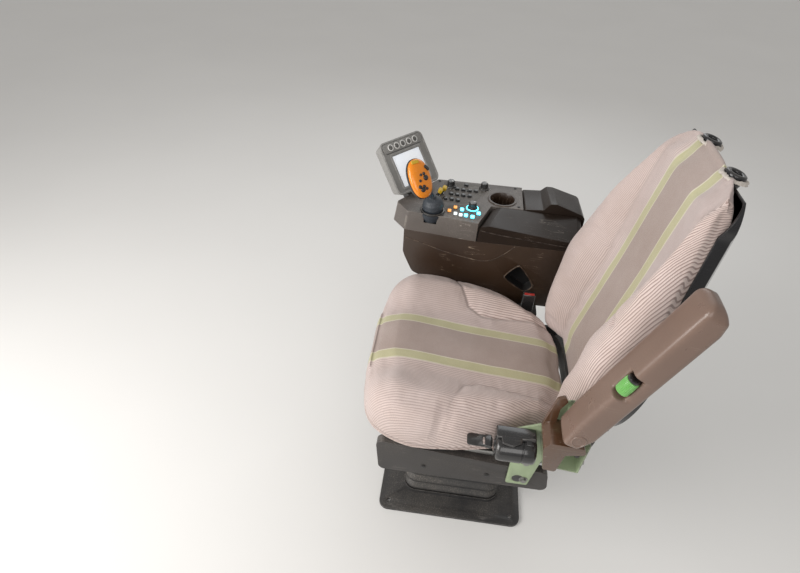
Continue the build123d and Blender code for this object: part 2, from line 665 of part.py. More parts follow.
# Lid: the padded armrest cap, hinged at its rear on a pin held by two lugs of the body
lid_rear = console_rear - 12
lid_near = [(seam_y + lid_seam, deck_low), (lid_rear, deck_low), (lid_rear, 722), (lid_rear - 14, 728),
            (18, 759), (seam_y + lid_seam + 4, 752)]
lid_far = [(seam_far_y + lid_seam, deck_low), (lid_rear, deck_low), (lid_rear, 750),
           (lid_rear - 14, 758), (54, 764), (seam_far_y + lid_seam + 4, 757)]
lid = cover_between(lid_near, lid_far, lid_x, lid_wall)
knuckle_x = (lug_x[0] + lid_side_gap, lug_x[1] - lid_side_gap)
lid += block(knuckle_x, (lid_rear - 2, lid_pin_y), (lid_pin_z - 14, lid_pin_z - 3))
lid += x_rod(lid_pin_y, lid_pin_z, lid_pin_r + 3, knuckle_x)
lid -= x_rod(lid_pin_y, lid_pin_z, lid_pin_r + pin_gap, (knuckle_x[0] - 1, knuckle_x[1] + 1))
pieces["console_lid"] = [lid]

# Drive lever: ball held by a collar of the deck, bent stalk and an oval grip in two halves
ball_centre = Pos(lever_x, lever_y, lever_z)
collar = Pos(lever_x, lever_y, deck_top - 10) * Cylinder(socket_r - seat_gap, 14, align=standing)
collar -= ball_centre * Sphere(ball_r + ball_gap)
pieces["lever_collar"] = [collar]
stalk_path = FilletPolyline((lever_x, lever_y, lever_z), stalk_knee, grip_centre, radius=24)
stalk = sweep(Plane(origin=stalk_path @ 0, z_dir=stalk_path % 0) * Circle(stalk_r), path=stalk_path)
stalk -= ball_centre * Sphere(ball_r + seat_gap)
pieces["lever_ball"] = [ball_centre * Sphere(ball_r)]
grip_frame = Pos(*grip_centre) * Rot(0, 0, grip_turn + 180) * Rot(90 - grip_pitch, 0, 0)
grip_half = loft([Ellipse(grip_w / 2, grip_h / 2), Pos(0, 0, grip_t) * Ellipse(grip_w / 3, grip_h / 2.6)])
grip_back = grip_frame * mirror(grip_half, Plane.XY)
in_front = grip_frame * Pos(0, 0, 50) * Box(300, 300, 100)
pieces["grip_face"] = [grip_frame * Pos(0, 0, seat_gap) * grip_half]
pieces["grip_back"] = [grip_back - stalk]
pieces["lever_stalk"] = [stalk - in_front]

# Monitor: case with a framed screen, tilting on a clevis from the deck
monitor = Pos(*monitor_centre) * Rot(0, 0, monitor_turn + 180) * Rot(90 - monitor_pitch, 0, 0)
case_face = RectangleRounded(monitor_w, monitor_h, monitor_corner_r)
case = extrude(case_face, -monitor_t, taper=monitor_taper)
case -= Pos(0, screen_y, 0) * Box(screen_w, screen_h, 6)
tilt_z = -monitor_t - tilt_reach
case += Pos(0, tilt_y, tilt_z / 2 - monitor_t / 2) * Box(tilt_lug_w, 2 * tilt_lug_r, tilt_reach + 1)
case += Pos(0, tilt_y, tilt_z) * Rot(0, 90, 0) * Cylinder(tilt_lug_r, tilt_lug_w)
case -= Pos(0, tilt_y, tilt_z) * Rot(0, 90, 0) * Cylinder(tilt_pin_r + pin_gap, tilt_lug_w + 2)
pieces["monitor_case"] = [monitor * case]
screen = Pos(0, screen_y, -1.7) * Box(screen_w - 1, screen_h - 1, 2.4)
pieces["monitor_screen"] = [monitor * screen]
key_count = 5
key_pitch = 22
pieces["monitor_keys"] = [monitor * Pos((key - (key_count - 1) / 2) * key_pitch, 60, seat_gap + 1.5)
                          * Cylinder(7, 3) for key in range(key_count)]

# Monitor bracket: two ears with the tilt pin, on an arm fixed to the deck's front wall
tilt_centre = (monitor * Pos(0, tilt_y, tilt_z)).position
turned = Pos(tilt_centre) * Rot(0, 0, monitor_turn + 180)
ear_in = tilt_lug_w / 2 + ear_gap
stay_outline = [(-7, 6), (-7, -36), (-64, -50), (-64, -76), (-32, -76), (9, -30), (9, 6)]
stay_face = fillet(Polygon(*stay_outline, align=None).vertices(), 4)
stay = face_prism(stay_face, (-ear_in - ear_t, ear_in + ear_t))
stay -= block((-ear_in, ear_in), (-20, 30), (-22, 20))
stay += x_rod(0, 0, tilt_pin_r, (-ear_in - 1, ear_in + 1))
pieces["monitor_bracket"] = [turned * stay - deck_form]

os.makedirs("parts", exist_ok=True)
for name, solids in pieces.items():
    flat = [solid for shape in solids for solid in shape.solids()]
    export_step(flat[0] if len(flat) == 1 else Compound(children=flat), f"parts/{name}.step")
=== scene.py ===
import bpy
import bmesh
import math
import numpy as np
from mathutils import Matrix, Vector, noise
from mathutils.bvhtree import BVHTree


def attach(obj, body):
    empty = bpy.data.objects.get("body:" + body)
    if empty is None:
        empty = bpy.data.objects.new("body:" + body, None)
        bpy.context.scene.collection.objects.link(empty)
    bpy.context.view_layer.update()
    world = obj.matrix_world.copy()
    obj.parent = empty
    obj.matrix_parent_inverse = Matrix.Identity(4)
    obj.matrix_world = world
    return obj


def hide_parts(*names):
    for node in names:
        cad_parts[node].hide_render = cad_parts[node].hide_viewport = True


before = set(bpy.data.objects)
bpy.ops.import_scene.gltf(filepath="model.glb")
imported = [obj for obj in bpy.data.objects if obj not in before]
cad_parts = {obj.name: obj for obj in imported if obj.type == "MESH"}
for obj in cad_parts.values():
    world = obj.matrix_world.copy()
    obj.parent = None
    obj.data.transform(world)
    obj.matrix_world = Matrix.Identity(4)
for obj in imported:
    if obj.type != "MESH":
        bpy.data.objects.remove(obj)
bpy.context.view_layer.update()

# Camera and studio. The camera stands at the left door of the cab, a little above the seat,
# and the seat stands on a pale floor in soft light from above and from both sides.
eye = Vector((1.166, -0.101, 1.674))
aim = Vector((-0.236, -0.231, 0.550))
camera_roll = 0.058
focal_px = 575.9
picture_px = 800
ahead = (aim - eye).normalized()
across = ahead.cross(Vector((0, 0, 1))).normalized()
above = across.cross(ahead)
camera_x = across * math.cos(camera_roll) + above * math.sin(camera_roll)
camera_y = above * math.cos(camera_roll) - across * math.sin(camera_roll)
camera_data = bpy.data.cameras.new("camera")
camera_data.sensor_width = 36
camera_data.lens = 36 * focal_px / picture_px
camera = bpy.data.objects.new("camera", camera_data)
bpy.context.scene.collection.objects.link(camera)
camera.matrix_world = Matrix((camera_x, camera_y, -ahead)).transposed().to_4x4()
camera.matrix_world.translation = eye
bpy.context.scene.camera = camera
bpy.context.scene.view_settings.view_transform = "Standard"


def put(tree, kind, sockets=None, **settings):
    """Adds a node to a tree, with its inputs set to values or joined to other nodes' outputs."""
    made = tree.nodes.new(kind)
    for key, value in settings.items():
        setattr(made, key, value)
    for key, value in (sockets or {}).items():
        if isinstance(value, bpy.types.NodeSocket):
            tree.links.new(value, made.inputs[key])
        else:
            made.inputs[key].default_value = value
    return made


def new_finish(name, **shader_values):
    """An empty material with a Principled shader, as (material, tree, shader)."""
    finish = bpy.data.materials.new(name)
    finish.use_nodes = True
    tree = finish.node_tree
    tree.nodes.clear()
    shader = put(tree, "ShaderNodeBsdfPrincipled")
    for key, value in shader_values.items():
        shader.inputs[key.replace("_", " ")].default_value = value
    surface = put(tree, "ShaderNodeOutputMaterial")
    tree.links.new(shader.outputs[0], surface.inputs["Surface"])
    return finish, tree, shader


studio_finish, studio_tree, studio_shader = new_finish("studio_floor", Roughness=0.9)
studio_spot = put(studio_tree, "ShaderNodeTexCoord")
studio_mottle = put(studio_tree, "ShaderNodeTexNoise", {"Vector": studio_spot.outputs["Object"],
                                                        "Scale": 1.5})
studio_tone = put(studio_tree, "ShaderNodeMix", {"Factor": studio_mottle.outputs[0],
                                                 "A": (0.80, 0.79, 0.77, 1), "B": (0.84, 0.83, 0.81, 1)},
                  data_type="RGBA")
studio_tree.links.new(studio_tone.outputs["Result"], studio_shader.inputs["Base Color"])
floor_half = 9.0
floor_mesh = bpy.data.meshes.new("studio_floor")
floor_mesh.from_pydata([(-floor_half, -floor_half, 0), (floor_half, -floor_half, 0),
                        (floor_half, floor_half, 0), (-floor_half, floor_half, 0)], [], [(0, 1, 2, 3)])
studio_floor = bpy.data.objects.new("studio_floor", floor_mesh)
bpy.context.scene.collection.objects.link(studio_floor)
floor_mesh.materials.append(studio_finish)

sky = bpy.data.worlds.new("studio_air")
bpy.context.scene.world = sky
sky.use_nodes = True
sky.node_tree.nodes["Background"].inputs["Color"].default_value = (1.0, 0.985, 0.965, 1)
sky.node_tree.nodes["Background"].inputs["Strength"].default_value = 0.47
for lamp_name, place, energy, size, tint in (
        ("lamp_front", (1.2, -2.3, 1.65), 66, 1.8, (1.0, 0.98, 0.96)),
        ("lamp_door", (2.3, 0.1, 1.9), 15, 1.4, (1.0, 0.98, 0.96)),
        ("lamp_far", (-2.3, 0.4, 2.3), 14, 1.6, (0.95, 0.98, 1.0))):
    lamp_data = bpy.data.lights.new(lamp_name, "AREA")
    lamp_data.energy = energy
    lamp_data.size = size
    lamp_data.color = tint
    lamp = bpy.data.objects.new(lamp_name, lamp_data)
    lamp.location = place
    lamp.rotation_euler = (Vector((-0.05, 0.0, 0.75)) - lamp.location).to_track_quat("-Z", "Y").to_euler()
    bpy.context.scene.collection.objects.link(lamp)

# Floor plate. Pressed steel, black painted, bolted to the cab floor through a hole at each
# corner and worn to bare metal along its edges.


def ramp(tree, factor, stops):
    """A colour ramp with the given (place, colour) stops; gives its colour output."""
    made = put(tree, "ShaderNodeValToRGB", {"Fac": factor})
    while len(made.color_ramp.elements) < len(stops):
        made.color_ramp.elements.new(1.0)
    for element, (place, colour) in zip(made.color_ramp.elements, stops):
        element.position = place
        element.color = (*colour, 1) if len(colour) == 3 else (colour[0],) * 3 + (1,)
    return made.outputs["Color"]


def blended(tree, factor, low, high, how="MIX"):
    """Mixes two colours or colour outputs by a factor; gives the mixed colour."""
    low, high = [(*c, 1) if isinstance(c, tuple) and len(c) == 3 else c for c in (low, high)]
    return put(tree, "ShaderNodeMix", {"Factor": factor, "A": low, "B": high}, data_type="RGBA",
               blend_type=how).outputs["Result"]


def math_of(tree, how, *parts):
    """Adds, multiplies or otherwise combines numbers and sockets."""
    return put(tree, "ShaderNodeMath", dict(enumerate(parts)), operation=how).outputs[0]


def noise_of(tree, spot, scale, detail, rise=0.5):
    """A cloudy value from 0 to 1, read at the given place."""
    return put(tree, "ShaderNodeTexNoise", {"Vector": spot, "Scale": scale, "Detail": detail,
                                            "Roughness": rise}).outputs[0]


def spread(tree, value, start=(0.0, 1.0), end=(0.0, 1.0)):
    """Carries a value over from one range to another."""
    return put(tree, "ShaderNodeMapRange", {"Value": value, "From Min": start[0], "From Max": start[1],
                                            "To Min": end[0], "To Max": end[1]}).outputs[0]


def moulding(name, tone, second, rough=0.45, grain=0.12, grain_scale=900, dust=0.25,
             dust_tone=(0.42, 0.37, 0.31), scratches=0.0, scratch_tone=(0.5, 0.45, 0.4), metallic=0.0,
             coat=0.0, wear=0.5, wear_tone=(0.30, 0.28, 0.26)):
    """Moulded plastic, rubber or paint: two close tones, fine grain, dust in specks on top,
    scratches, and edges worn where the piece's own edge value is high."""
    finish, tree, shader = new_finish(name, Metallic=metallic, Coat_Weight=coat, Coat_Roughness=0.12)
    spot = put(tree, "ShaderNodeTexCoord").outputs["Object"]

    def cloud(scale, detail, rise, low, high, least=0.0):
        return ramp(tree, noise_of(tree, spot, scale, detail, rise), [(low, (least,)), (high, (1.0,))])

    def times(*parts):
        return math_of(tree, "MULTIPLY", *parts)

    colour = blended(tree, cloud(5.0, 3.0, 0.5, 0.3, 0.7), tone, second)
    specks = cloud(260.0, 3.0, 0.7, 0.50, 0.72)
    haze = cloud(7.0, 6.0, 0.6, 0.40, 0.66, 0.15)
    facing = put(tree, "ShaderNodeSeparateXYZ", {0: put(tree, "ShaderNodeNewGeometry").outputs["Normal"]})
    upward = spread(tree, facing.outputs["Z"], (-0.2, 0.9))
    settled = times(times(specks, haze), upward)
    film = times(times(haze, upward), 0.22 * dust)
    colour = blended(tree, film, colour, dust_tone)
    colour = blended(tree, times(settled, dust), colour, dust_tone)
    roughness = spread(tree, haze, end=(rough - 0.05, rough + 0.10))
    if scratches:
        stretched = put(tree, "ShaderNodeMapping", {"Vector": spot, "Rotation": (0.5, 0.2, 0.35),
                                                    "Scale": (55, 4, 70)}).outputs[0]
        lines = put(tree, "ShaderNodeTexNoise", {"Vector": stretched, "Scale": 1.0, "Detail": 2.0,
                                                 "Distortion": 0.6}).outputs[0]
        fine = ramp(tree, lines, [(0.0, (0.0,)), (0.494, (0.0,)), (0.5, (1.0,)), (0.506, (0.0,))])
        where = cloud(13.0, 2.0, 0.5, 0.54, 0.64)
        colour = blended(tree, times(times(fine, where), scratches), colour, scratch_tone)
    if wear:
        edge = put(tree, "ShaderNodeAttribute", attribute_name="edge").outputs["Fac"]
        rubbed = cloud(60.0, 5.0, 0.65, 0.42, 0.60)
        colour = blended(tree, times(times(edge, rubbed), wear), colour, wear_tone)
    tree.links.new(colour, shader.inputs["Base Color"])
    tree.links.new(roughness, shader.inputs["Roughness"])
    bump = put(tree, "ShaderNodeBump", {"Height": noise_of(tree, spot, grain_scale, 2.0),
                                        "Strength": grain, "Distance": 0.0006})
    tree.links.new(bump.outputs[0], shader.inputs["Normal"])
    return finish


def to_plain_mesh(piece, sharp_angle=38):
    """Turns a piece's live modifiers into its own mesh, smooth between edges sharper than the angle."""
    depsgraph = bpy.context.evaluated_depsgraph_get()
    plain = bpy.data.meshes.new_from_object(piece.evaluated_get(depsgraph))
    piece.modifiers.clear()
    piece.data = plain
    plain.shade_smooth()
    plain.set_sharp_from_angle(angle=math.radians(sharp_angle))
    return piece


def new_piece(name, mesh):
    """An object for a mesh given as a mesh or as a bmesh, at the origin."""
    if isinstance(mesh, bmesh.types.BMesh):
        plain = bpy.data.meshes.new(name)
        mesh.to_mesh(plain)
        mesh.free()
        mesh = plain
    piece = bpy.data.objects.new(name, mesh)
    bpy.context.scene.collection.objects.link(piece)
    return piece


def points_of(piece):
    """The piece's vertices and their normals, as two arrays."""
    count = len(piece.data.vertices)
    place, facing = np.empty(count * 3), np.empty(count * 3)
    piece.data.vertices.foreach_get("co", place)
    piece.data.vertex_normals.foreach_get("vector", facing)
    return place.reshape(-1, 3), facing.reshape(-1, 3)


def read(items, field, width=1, kind=np.int32):
    """One field of all items of a mesh, as an array."""
    values = np.empty(len(items) * width, dtype=kind)
    items.foreach_get(field, values)
    return values.reshape(-1, width) if width > 1 else values


def mark_edges(piece, narrow=0.0035):
    """Writes how far the surface turns outwards at each vertex of its narrow rounded edges."""
    mesh = piece.data
    place, facing = points_of(piece)
    ends = read(mesh.edges, "vertices", 2)
    along = place[ends[:, 1]] - place[ends[:, 0]]
    length = np.maximum(np.linalg.norm(along, axis=1), 1e-9)
    along /= length[:, None]
    turn = np.bincount(ends[:, 1], (along * facing[ends[:, 1]]).sum(axis=1), len(place))
    turn -= np.bincount(ends[:, 0], (along * facing[ends[:, 0]]).sum(axis=1), len(place))
    turn /= np.maximum(np.bincount(ends.ravel(), minlength=len(place)), 1)
    longest = np.maximum.reduceat(length[read(mesh.loops, "edge_index")], read(mesh.polygons, "loop_start"))
    width = read(mesh.polygons, "area", 1, np.float32) / longest
    widest = np.zeros(len(place))
    around = np.repeat(width, read(mesh.polygons, "loop_total"))
    np.maximum.at(widest, read(mesh.loops, "vertex_index"), around)
    values = np.clip(turn * 5, 0, 1) * (widest < narrow)
    mesh.attributes.new("edge", "FLOAT", "POINT").data.foreach_set("value", values)


def join_up(piece, finish, body, slot, *nodes):
    """Gives a finished piece its material and its body, marks its edges and hides the CAD
    nodes it stands for. The slot is not used.
    """
    mark_edges(piece)
    piece.data.materials.clear()
    piece.data.materials.append(finish)
    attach(piece, body)
    if nodes:
        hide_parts(*nodes)
    return piece


def rounded_copy(node, width, segments=2, angle=35, sharp_angle=38):
    """A copy of a CAD node's mesh with its edges rounded over."""
    mesh = bmesh.new()
    mesh.from_mesh(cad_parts[node].data)
    bmesh.ops.remove_doubles(mesh, verts=mesh.verts, dist=0.00001)
    bmesh.ops.dissolve_limit(mesh, angle_limit=math.radians(0.8), verts=mesh.verts, edges=mesh.edges)
    piece = new_piece(node + "_made", mesh)
    bevel = piece.modifiers.new("round", "BEVEL")
    bevel.width = width
    bevel.segments = segments
    bevel.limit_method = "ANGLE"
    bevel.angle_limit = math.radians(angle)
    bevel.harden_normals = False
    return to_plain_mesh(piece, sharp_angle)


def dressed(node, width, finish, body, slot, segments=2):
    """A CAD node's copy with its edges rounded over, finished, in the node's stead."""
    return join_up(rounded_copy(node, width, segments), finish, body, slot, node)


black_steel = moulding("black_steel", (0.028, 0.028, 0.030), (0.038, 0.037, 0.037), rough=0.38, grain=0.08,
                       grain_scale=500, dust=0.35, scratches=0.4, scratch_tone=(0.35, 0.33, 0.31), wear=0.7)
dressed("floor_plate", 0.0012, black_steel, "base", "floor_steel")

# Suspension boot. Black rubber bellows around the scissor frame and the air spring, clipped to
# the floor plate and to the upper frame, with dust lying in its folds.
boot_rubber = moulding("boot_rubber", (0.020, 0.020, 0.021), (0.028, 0.027, 0.027), rough=0.55, grain=0.2,
                       grain_scale=700, dust=0.5, wear=0.2)
plate_top = 0.008
boot_low, boot_high = plate_top + 0.0003, 0.276
boot_half = (0.125, 0.150)
boot_corner = 0.040
pleats = 7
pleat_in = 0.016
boot_rows = pleats * 10


def rounded_ring(half_x, half_y, corner, height, per_corner=8):
    """Points of a rectangle with rounded corners, going round anticlockwise at one height."""
    ring = []
    for turn, (side_x, side_y) in enumerate(((1, 1), (-1, 1), (-1, -1), (1, -1))):
        for step in range(per_corner + 1):
            angle = math.radians(90 * turn + 90 * step / per_corner)
            ring.append((side_x * (half_x - corner) + corner * math.cos(angle),
                         side_y * (half_y - corner) + corner * math.sin(angle), height))
    return ring


def skin(rings, closed=False, capped=True):
    """A bmesh skinned over rings of equal counts, with flat ends if capped."""
    mesh = bmesh.new()
    rows = [[mesh.verts.new(point) for point in ring] for ring in rings]
    pairs = list(zip(rows, rows[1:])) + ([(rows[-1], rows[0])] if closed else [])
    for low, high in pairs:
        for at in range(len(low)):
            after = (at + 1) % len(low)
            mesh.faces.new((low[at], low[after], high[after], high[at]))
    if capped and not closed:
        mesh.faces.new(list(reversed(rows[0])))
        mesh.faces.new(rows[-1])
    bmesh.ops.recalc_face_normals(mesh, faces=mesh.faces)
    return mesh


boot_rings = []
for row in range(boot_rows + 1):
    rise = row / boot_rows
    fold = (0.5 - 0.5 * math.cos(2 * math.pi * pleats * rise)) ** 0.7
    sag = 0.002 * math.sin(5 * rise + 1.2)
    inset = pleat_in * (1 - fold) + 0.001 - sag * (1 - rise) * rise
    boot_rings.append(rounded_ring(boot_half[0] - inset, boot_half[1] - inset, boot_corner - 0.6 * inset,
                                   boot_low + (boot_high - boot_low) * rise))
boot = to_plain_mesh(new_piece("boot_bellows", skin(boot_rings)), 75)
join_up(boot, boot_rubber, "base", "boot_rubber", "suspension_boot")


def at(x, y, z, turn_x=0.0, turn_y=0.0, turn_z=0.0):
    """A place in metres with turns in degrees about X, then Y, then Z."""
    turn = Matrix.Rotation(math.radians(turn_z), 4, "Z") @ Matrix.Rotation(math.radians(turn_y), 4, "Y") \
        @ Matrix.Rotation(math.radians(turn_x), 4, "X")
    return Matrix.Translation((x, y, z)) @ turn


def repeated(name, form, finish, places, **sizes):
    """Copies of a small form that form() builds in a node tree, one on each place matrix."""
    tree = bpy.data.node_groups.new(name, "GeometryNodeTree")
    tree.interface.new_socket("Places", in_out="INPUT", socket_type="NodeSocketGeometry")
    tree.interface.new_socket("Result", in_out="OUTPUT", socket_type="NodeSocketGeometry")
    sockets = {key: tree.interface.new_socket(key, in_out="INPUT", socket_type="NodeSocketFloat")
               for key in sizes}
    entry, leave = tree.nodes.new("NodeGroupInput"), tree.nodes.new("NodeGroupOutput")
    turn = put(tree, "GeometryNodeInputNamedAttribute", {"Name": "turn"}, data_type="FLOAT_VECTOR")
    turn = put(tree, "FunctionNodeEulerToRotation", {0: turn.outputs["Attribute"]})
    copies = put(tree, "GeometryNodeInstanceOnPoints",
                 {"Points": entry.outputs["Places"], "Instance": form(tree, entry.outputs),
                  "Rotation": turn.outputs[0]})
    solid = put(tree, "GeometryNodeRealizeInstances", {"Geometry": copies.outputs[0]})
    painted = put(tree, "GeometryNodeSetMaterial", {"Geometry": solid.outputs[0], "Material": finish})
    tree.links.new(painted.outputs[0], leave.inputs["Result"])
    spots = bpy.data.meshes.new(name)
    spots.from_pydata([place.to_translation() for place in places], [], [])
    turns = [part for place in places for part in place.to_euler()]
    spots.attributes.new("turn", "FLOAT_VECTOR", "POINT").data.foreach_set("vector", turns)
    piece = new_piece(name, spots)
    modifier = piece.modifiers.new("copies", "NODES")
    modifier.node_group = tree
    for key, value in sizes.items():
        modifier[sockets[key].identifier] = value
    return to_plain_mesh(piece, 40)


def stacked(tree, *levels):
    """Round or many-sided discs on each other in a node tree, each level given as its number of
    sides, lower radius, upper radius and height; a socket or a number may give each size."""
    joined = put(tree, "GeometryNodeJoinGeometry")
    base = 0.0
    for sides, low, high, height in levels:
        disc = put(tree, "GeometryNodeMeshCone", {"Vertices": sides, "Radius Bottom": low, "Radius Top": high,
                                                  "Depth": height})
        lift = put(tree, "ShaderNodeCombineXYZ", {"Z": base})
        lifted = put(tree, "GeometryNodeTransform",
                     {"Geometry": disc.outputs["Mesh"], "Translation": lift.outputs[0]})
        tree.links.new(lifted.outputs[0], joined.inputs[0])
        base = math_of(tree, "ADD", base, height)
    return joined.outputs[0]


def hex_bolt(tree, size):
    """A washer with a chamfered hexagon head on it."""
    wide = size["Head"]
    washer = math_of(tree, "MULTIPLY", wide, 1.45)
    crown = math_of(tree, "MULTIPLY", wide, 0.8)
    return stacked(tree, (24, washer, washer, 0.0014), (6, wide, wide, size["Height"]),
                   (18, crown, crown, 0.0006))


def fixed(name, form, finish, places, body, slot, *nodes, **sizes):
    """Repeated copies of a small form as one finished piece."""
    return join_up(repeated(name, form, finish, places, **sizes), finish, body, slot, *nodes)


def pan_screw(tree, size):
    """A low round screw head with a rounded crown and a hexagon socket."""
    wide = size["Head"]
    crown = math_of(tree, "MULTIPLY", wide, 0.72)
    socket = math_of(tree, "MULTIPLY", wide, 0.4)
    return stacked(tree, (20, wide, wide, size["Height"]), (20, wide, crown, 0.0009),
                   (6, socket, socket, 0.0002))


bolt_steel = moulding("bolt_steel", (0.30, 0.30, 0.29), (0.24, 0.24, 0.23), rough=0.34, grain=0.05, dust=0.3,
                      metallic=0.9, wear=0.3, wear_tone=(0.5, 0.5, 0.5))
black_screws = moulding("black_screws", (0.02, 0.02, 0.02), (0.03, 0.03, 0.03), rough=0.35, dust=0.2,
                        metallic=0.3)
strip_high, strip_out = 0.012, 0.0016
strip_profile = [(0, 0.0004), (strip_out, 0.0008), (strip_out, strip_high), (0, strip_high + 0.0004),
                 (-0.0015, strip_high), (-0.0015, 0.0008)]
for name, strip_low in (("boot_strip_low", plate_top), ("boot_strip_high", 0.2405)):
    strip_rings = [rounded_ring(boot_half[0] + grow, boot_half[1] + grow, boot_corner + grow,
                                strip_low + height) for grow, height in strip_profile]
    strip = to_plain_mesh(new_piece(name, skin(strip_rings, closed=True)), 50)
    join_up(strip, black_steel, "base", "frame_paint")
strip_spots = [at(x, side * (boot_half[1] + strip_out - 0.0002), z, -90 * side) for z in (0.0145, 0.247)
               for side in (1, -1) for x in (-0.06, 0.0, 0.06)]
strip_spots += [at(side * (boot_half[0] + strip_out - 0.0002), y, z, 0, 90 * side) for z in (0.0145, 0.247)
                for side in (1, -1) for y in (-0.08, 0.0, 0.08)]
fixed("strip_screws", pan_screw, black_screws, strip_spots, "base", "frame_paint", Head=0.0036, Height=0.0012)

# Upper suspension frame and slide rails. Folded black steel tray, and zinc plated channels
# bolted to it, in which the seat's runners slide on greased shoes.
dressed("suspension_frame", 0.0015, black_steel, "base", "frame_paint")
rail_zinc = moulding("rail_zinc", (0.40, 0.40, 0.39), (0.30, 0.30, 0.29), rough=0.38, grain=0.06, dust=0.5,
                     metallic=0.85, scratches=0.4, scratch_tone=(0.1, 0.09, 0.08))
dressed("lower_rails", 0.0006, rail_zinc, "base", "rail_steel")
dressed("upper_rails", 0.0006, rail_zinc, "seat", "rail_steel")

# Seat frame, pan, handle and side shields. Welded and pressed steel, black painted, with
# grained plastic shields pushed over the ends of the cross tubes.
for node in ("seat_carrier", "seat_pan", "slide_handle", "recline_brackets"):
    dressed(node, 0.0008, black_steel, "seat", "frame_paint")
shield_plastic = moulding("shield_plastic", (0.035, 0.032, 0.031), (0.048, 0.044, 0.042), rough=0.5, grain=0.5,
                          grain_scale=650, dust=0.5, scratches=0.6, scratch_tone=(0.2, 0.18, 0.16))
dressed("side_shields", 0.003, shield_plastic, "seat", "shield_plastic", 3)
shield_spots = [at(side * 0.2618, y, 0.352, 0, 90 * side) for side in (1, -1) for y in (-0.095, 0.072)]
fixed("shield_screws", pan_screw, black_screws, shield_spots, "seat", "shield_plastic", Head=0.0060,
      Height=0.0020)
hinge_spots = [at(side * 0.2175, 0.290, 0.515, 0, 90 * side) for side in (1, -1)]
fixed("hinge_bolts", hex_bolt, bolt_steel, hinge_spots, "seat", "frame_paint", Head=0.0095, Height=0.0060)
sleeve_rings = []
for step in range(49):
    along = -0.060 + 0.120 * step / 48
    thick = 0.0049 if step in (0, 48) else 0.0078 + 0.0006 * (step % 4 in (1, 2))
    sleeve_rings.append([(along, -0.262 + thick * math.cos(2 * math.pi * turn / 24),
                          0.3273 + thick * math.sin(2 * math.pi * turn / 24)) for turn in range(24)])
handle_sleeve = to_plain_mesh(new_piece("handle_sleeve", skin(sleeve_rings)), 35)
join_up(handle_sleeve, boot_rubber, "seat", "shield_plastic")

# Seat cushion. Moulded foam in a striped woven cloth cover, sewn along a seam that runs in
# from each side and back beside the sitting surface, and clipped down to the pan.
seat_frame = Matrix.Translation((0, 0, 0.550)) @ Matrix.Rotation(math.radians(-5.7), 4, "X")
cushion_thick = 0.112
bolster_rise = 0.030
flat_half = 0.118


def smooth_loop(points, between=9):
    """A closed smooth line through the given flat points, with extra points between them."""
    known = np.array(points, dtype=float)
    before, after = np.roll(known, 1, axis=0), np.roll(known, -1, axis=0)
    beyond = np.roll(known, -2, axis=0)
    line = []
    for step in range(between):
        t = step / between
        line.append(0.5 * (2 * known + (after - before) * t
                           + (2 * before - 5 * known + 4 * after - beyond) * t ** 2
                           + (3 * known - before - 3 * after + beyond) * t ** 3))
    return np.stack(line, axis=1).reshape(-1, 2)


def both_sides(half_outline):
    """The outline of a form that is the same on both sides, from its points at x of 0 or more."""
    return half_outline + [(-x, other) for x, other in reversed(half_outline) if x > 0]


def eased(value, low, high):
    """0 below low, 1 above high, and a soft step between."""
    share = np.clip((value - low) / (high - low), 0, 1)
    return share * share * (3 - 2 * share)


def stuffed(name, mesh, voxel, cap, held, pressure=4.0, frames=20):
    """Swells a closed form like stuffed cloth: voxel remesh, cloth under pressure with the points
    for which held() is true kept in place, no point moved further than cap, one subdivision."""
    piece = new_piece(name, mesh)
    remesh = piece.modifiers.new("even", "REMESH")
    remesh.mode = "VOXEL"
    remesh.voxel_size = voxel
    to_plain_mesh(piece, 180)
    start, outward = points_of(piece)
    kept = piece.vertex_groups.new(name="held")
    kept.add([int(at) for at in np.nonzero(held(start))[0]], 1.0, "REPLACE")
    cloth = piece.modifiers.new("stuffing", "CLOTH")
    cloth.settings.use_pressure = True
    cloth.settings.uniform_pressure_force = pressure
    cloth.settings.quality = 4
    cloth.settings.mass = 0.3
    cloth.settings.tension_stiffness = 18
    cloth.settings.compression_stiffness = 18
    cloth.settings.shear_stiffness = 8
    cloth.settings.bending_stiffness = 1.2
    cloth.settings.effector_weights.gravity = 0
    cloth.settings.vertex_group_mass = "held"
    cloth.collision_settings.use_collision = False
    cloth.point_cache.frame_end = frames
    for at in range(1, frames + 1):
        bpy.context.scene.frame_set(at)
    to_plain_mesh(piece, 180)
    bpy.context.scene.frame_set(1)
    moved = points_of(piece)[0] - start
    sunk = np.minimum((moved * outward).sum(axis=1, keepdims=True), 0)
    moved -= 0.7 * sunk * outward
    moved *= np.minimum(1.0, cap / np.maximum(np.linalg.norm(moved, axis=1, keepdims=True), 1e-9))
    piece.data.vertices.foreach_set("co", (start + moved).ravel())
    piece.vertex_groups.clear()
    soften = piece.modifiers.new("soften", "SMOOTH")
    soften.iterations = 3
    soften.factor = 0.5
    finer = piece.modifiers.new("finer", "SUBSURF")
    finer.levels = finer.render_levels = 1
    return to_plain_mesh(piece, 180)


def line_distance(flat, line):
    """How far each flat point is from a polyline of flat points."""
    nearest = np.full(len(flat), 1e9)
    line = np.array(line, dtype=float)
    for start, end in zip(line, line[1:]):
        along = end - start
        share = np.clip(((flat - start) @ along) / (along @ along), 0, 1)
        nearest = np.minimum(nearest, np.linalg.norm(flat - (start + share[:, None] * along), axis=1))
    return nearest


def unevenness(place, per_x, per_y, per_z, shift):
    """A smooth random value at each point, from about -1 to 1."""
    return np.array([noise.noise(Vector((x * per_x, y * per_y, z * per_z + shift))) for x, y, z in place])


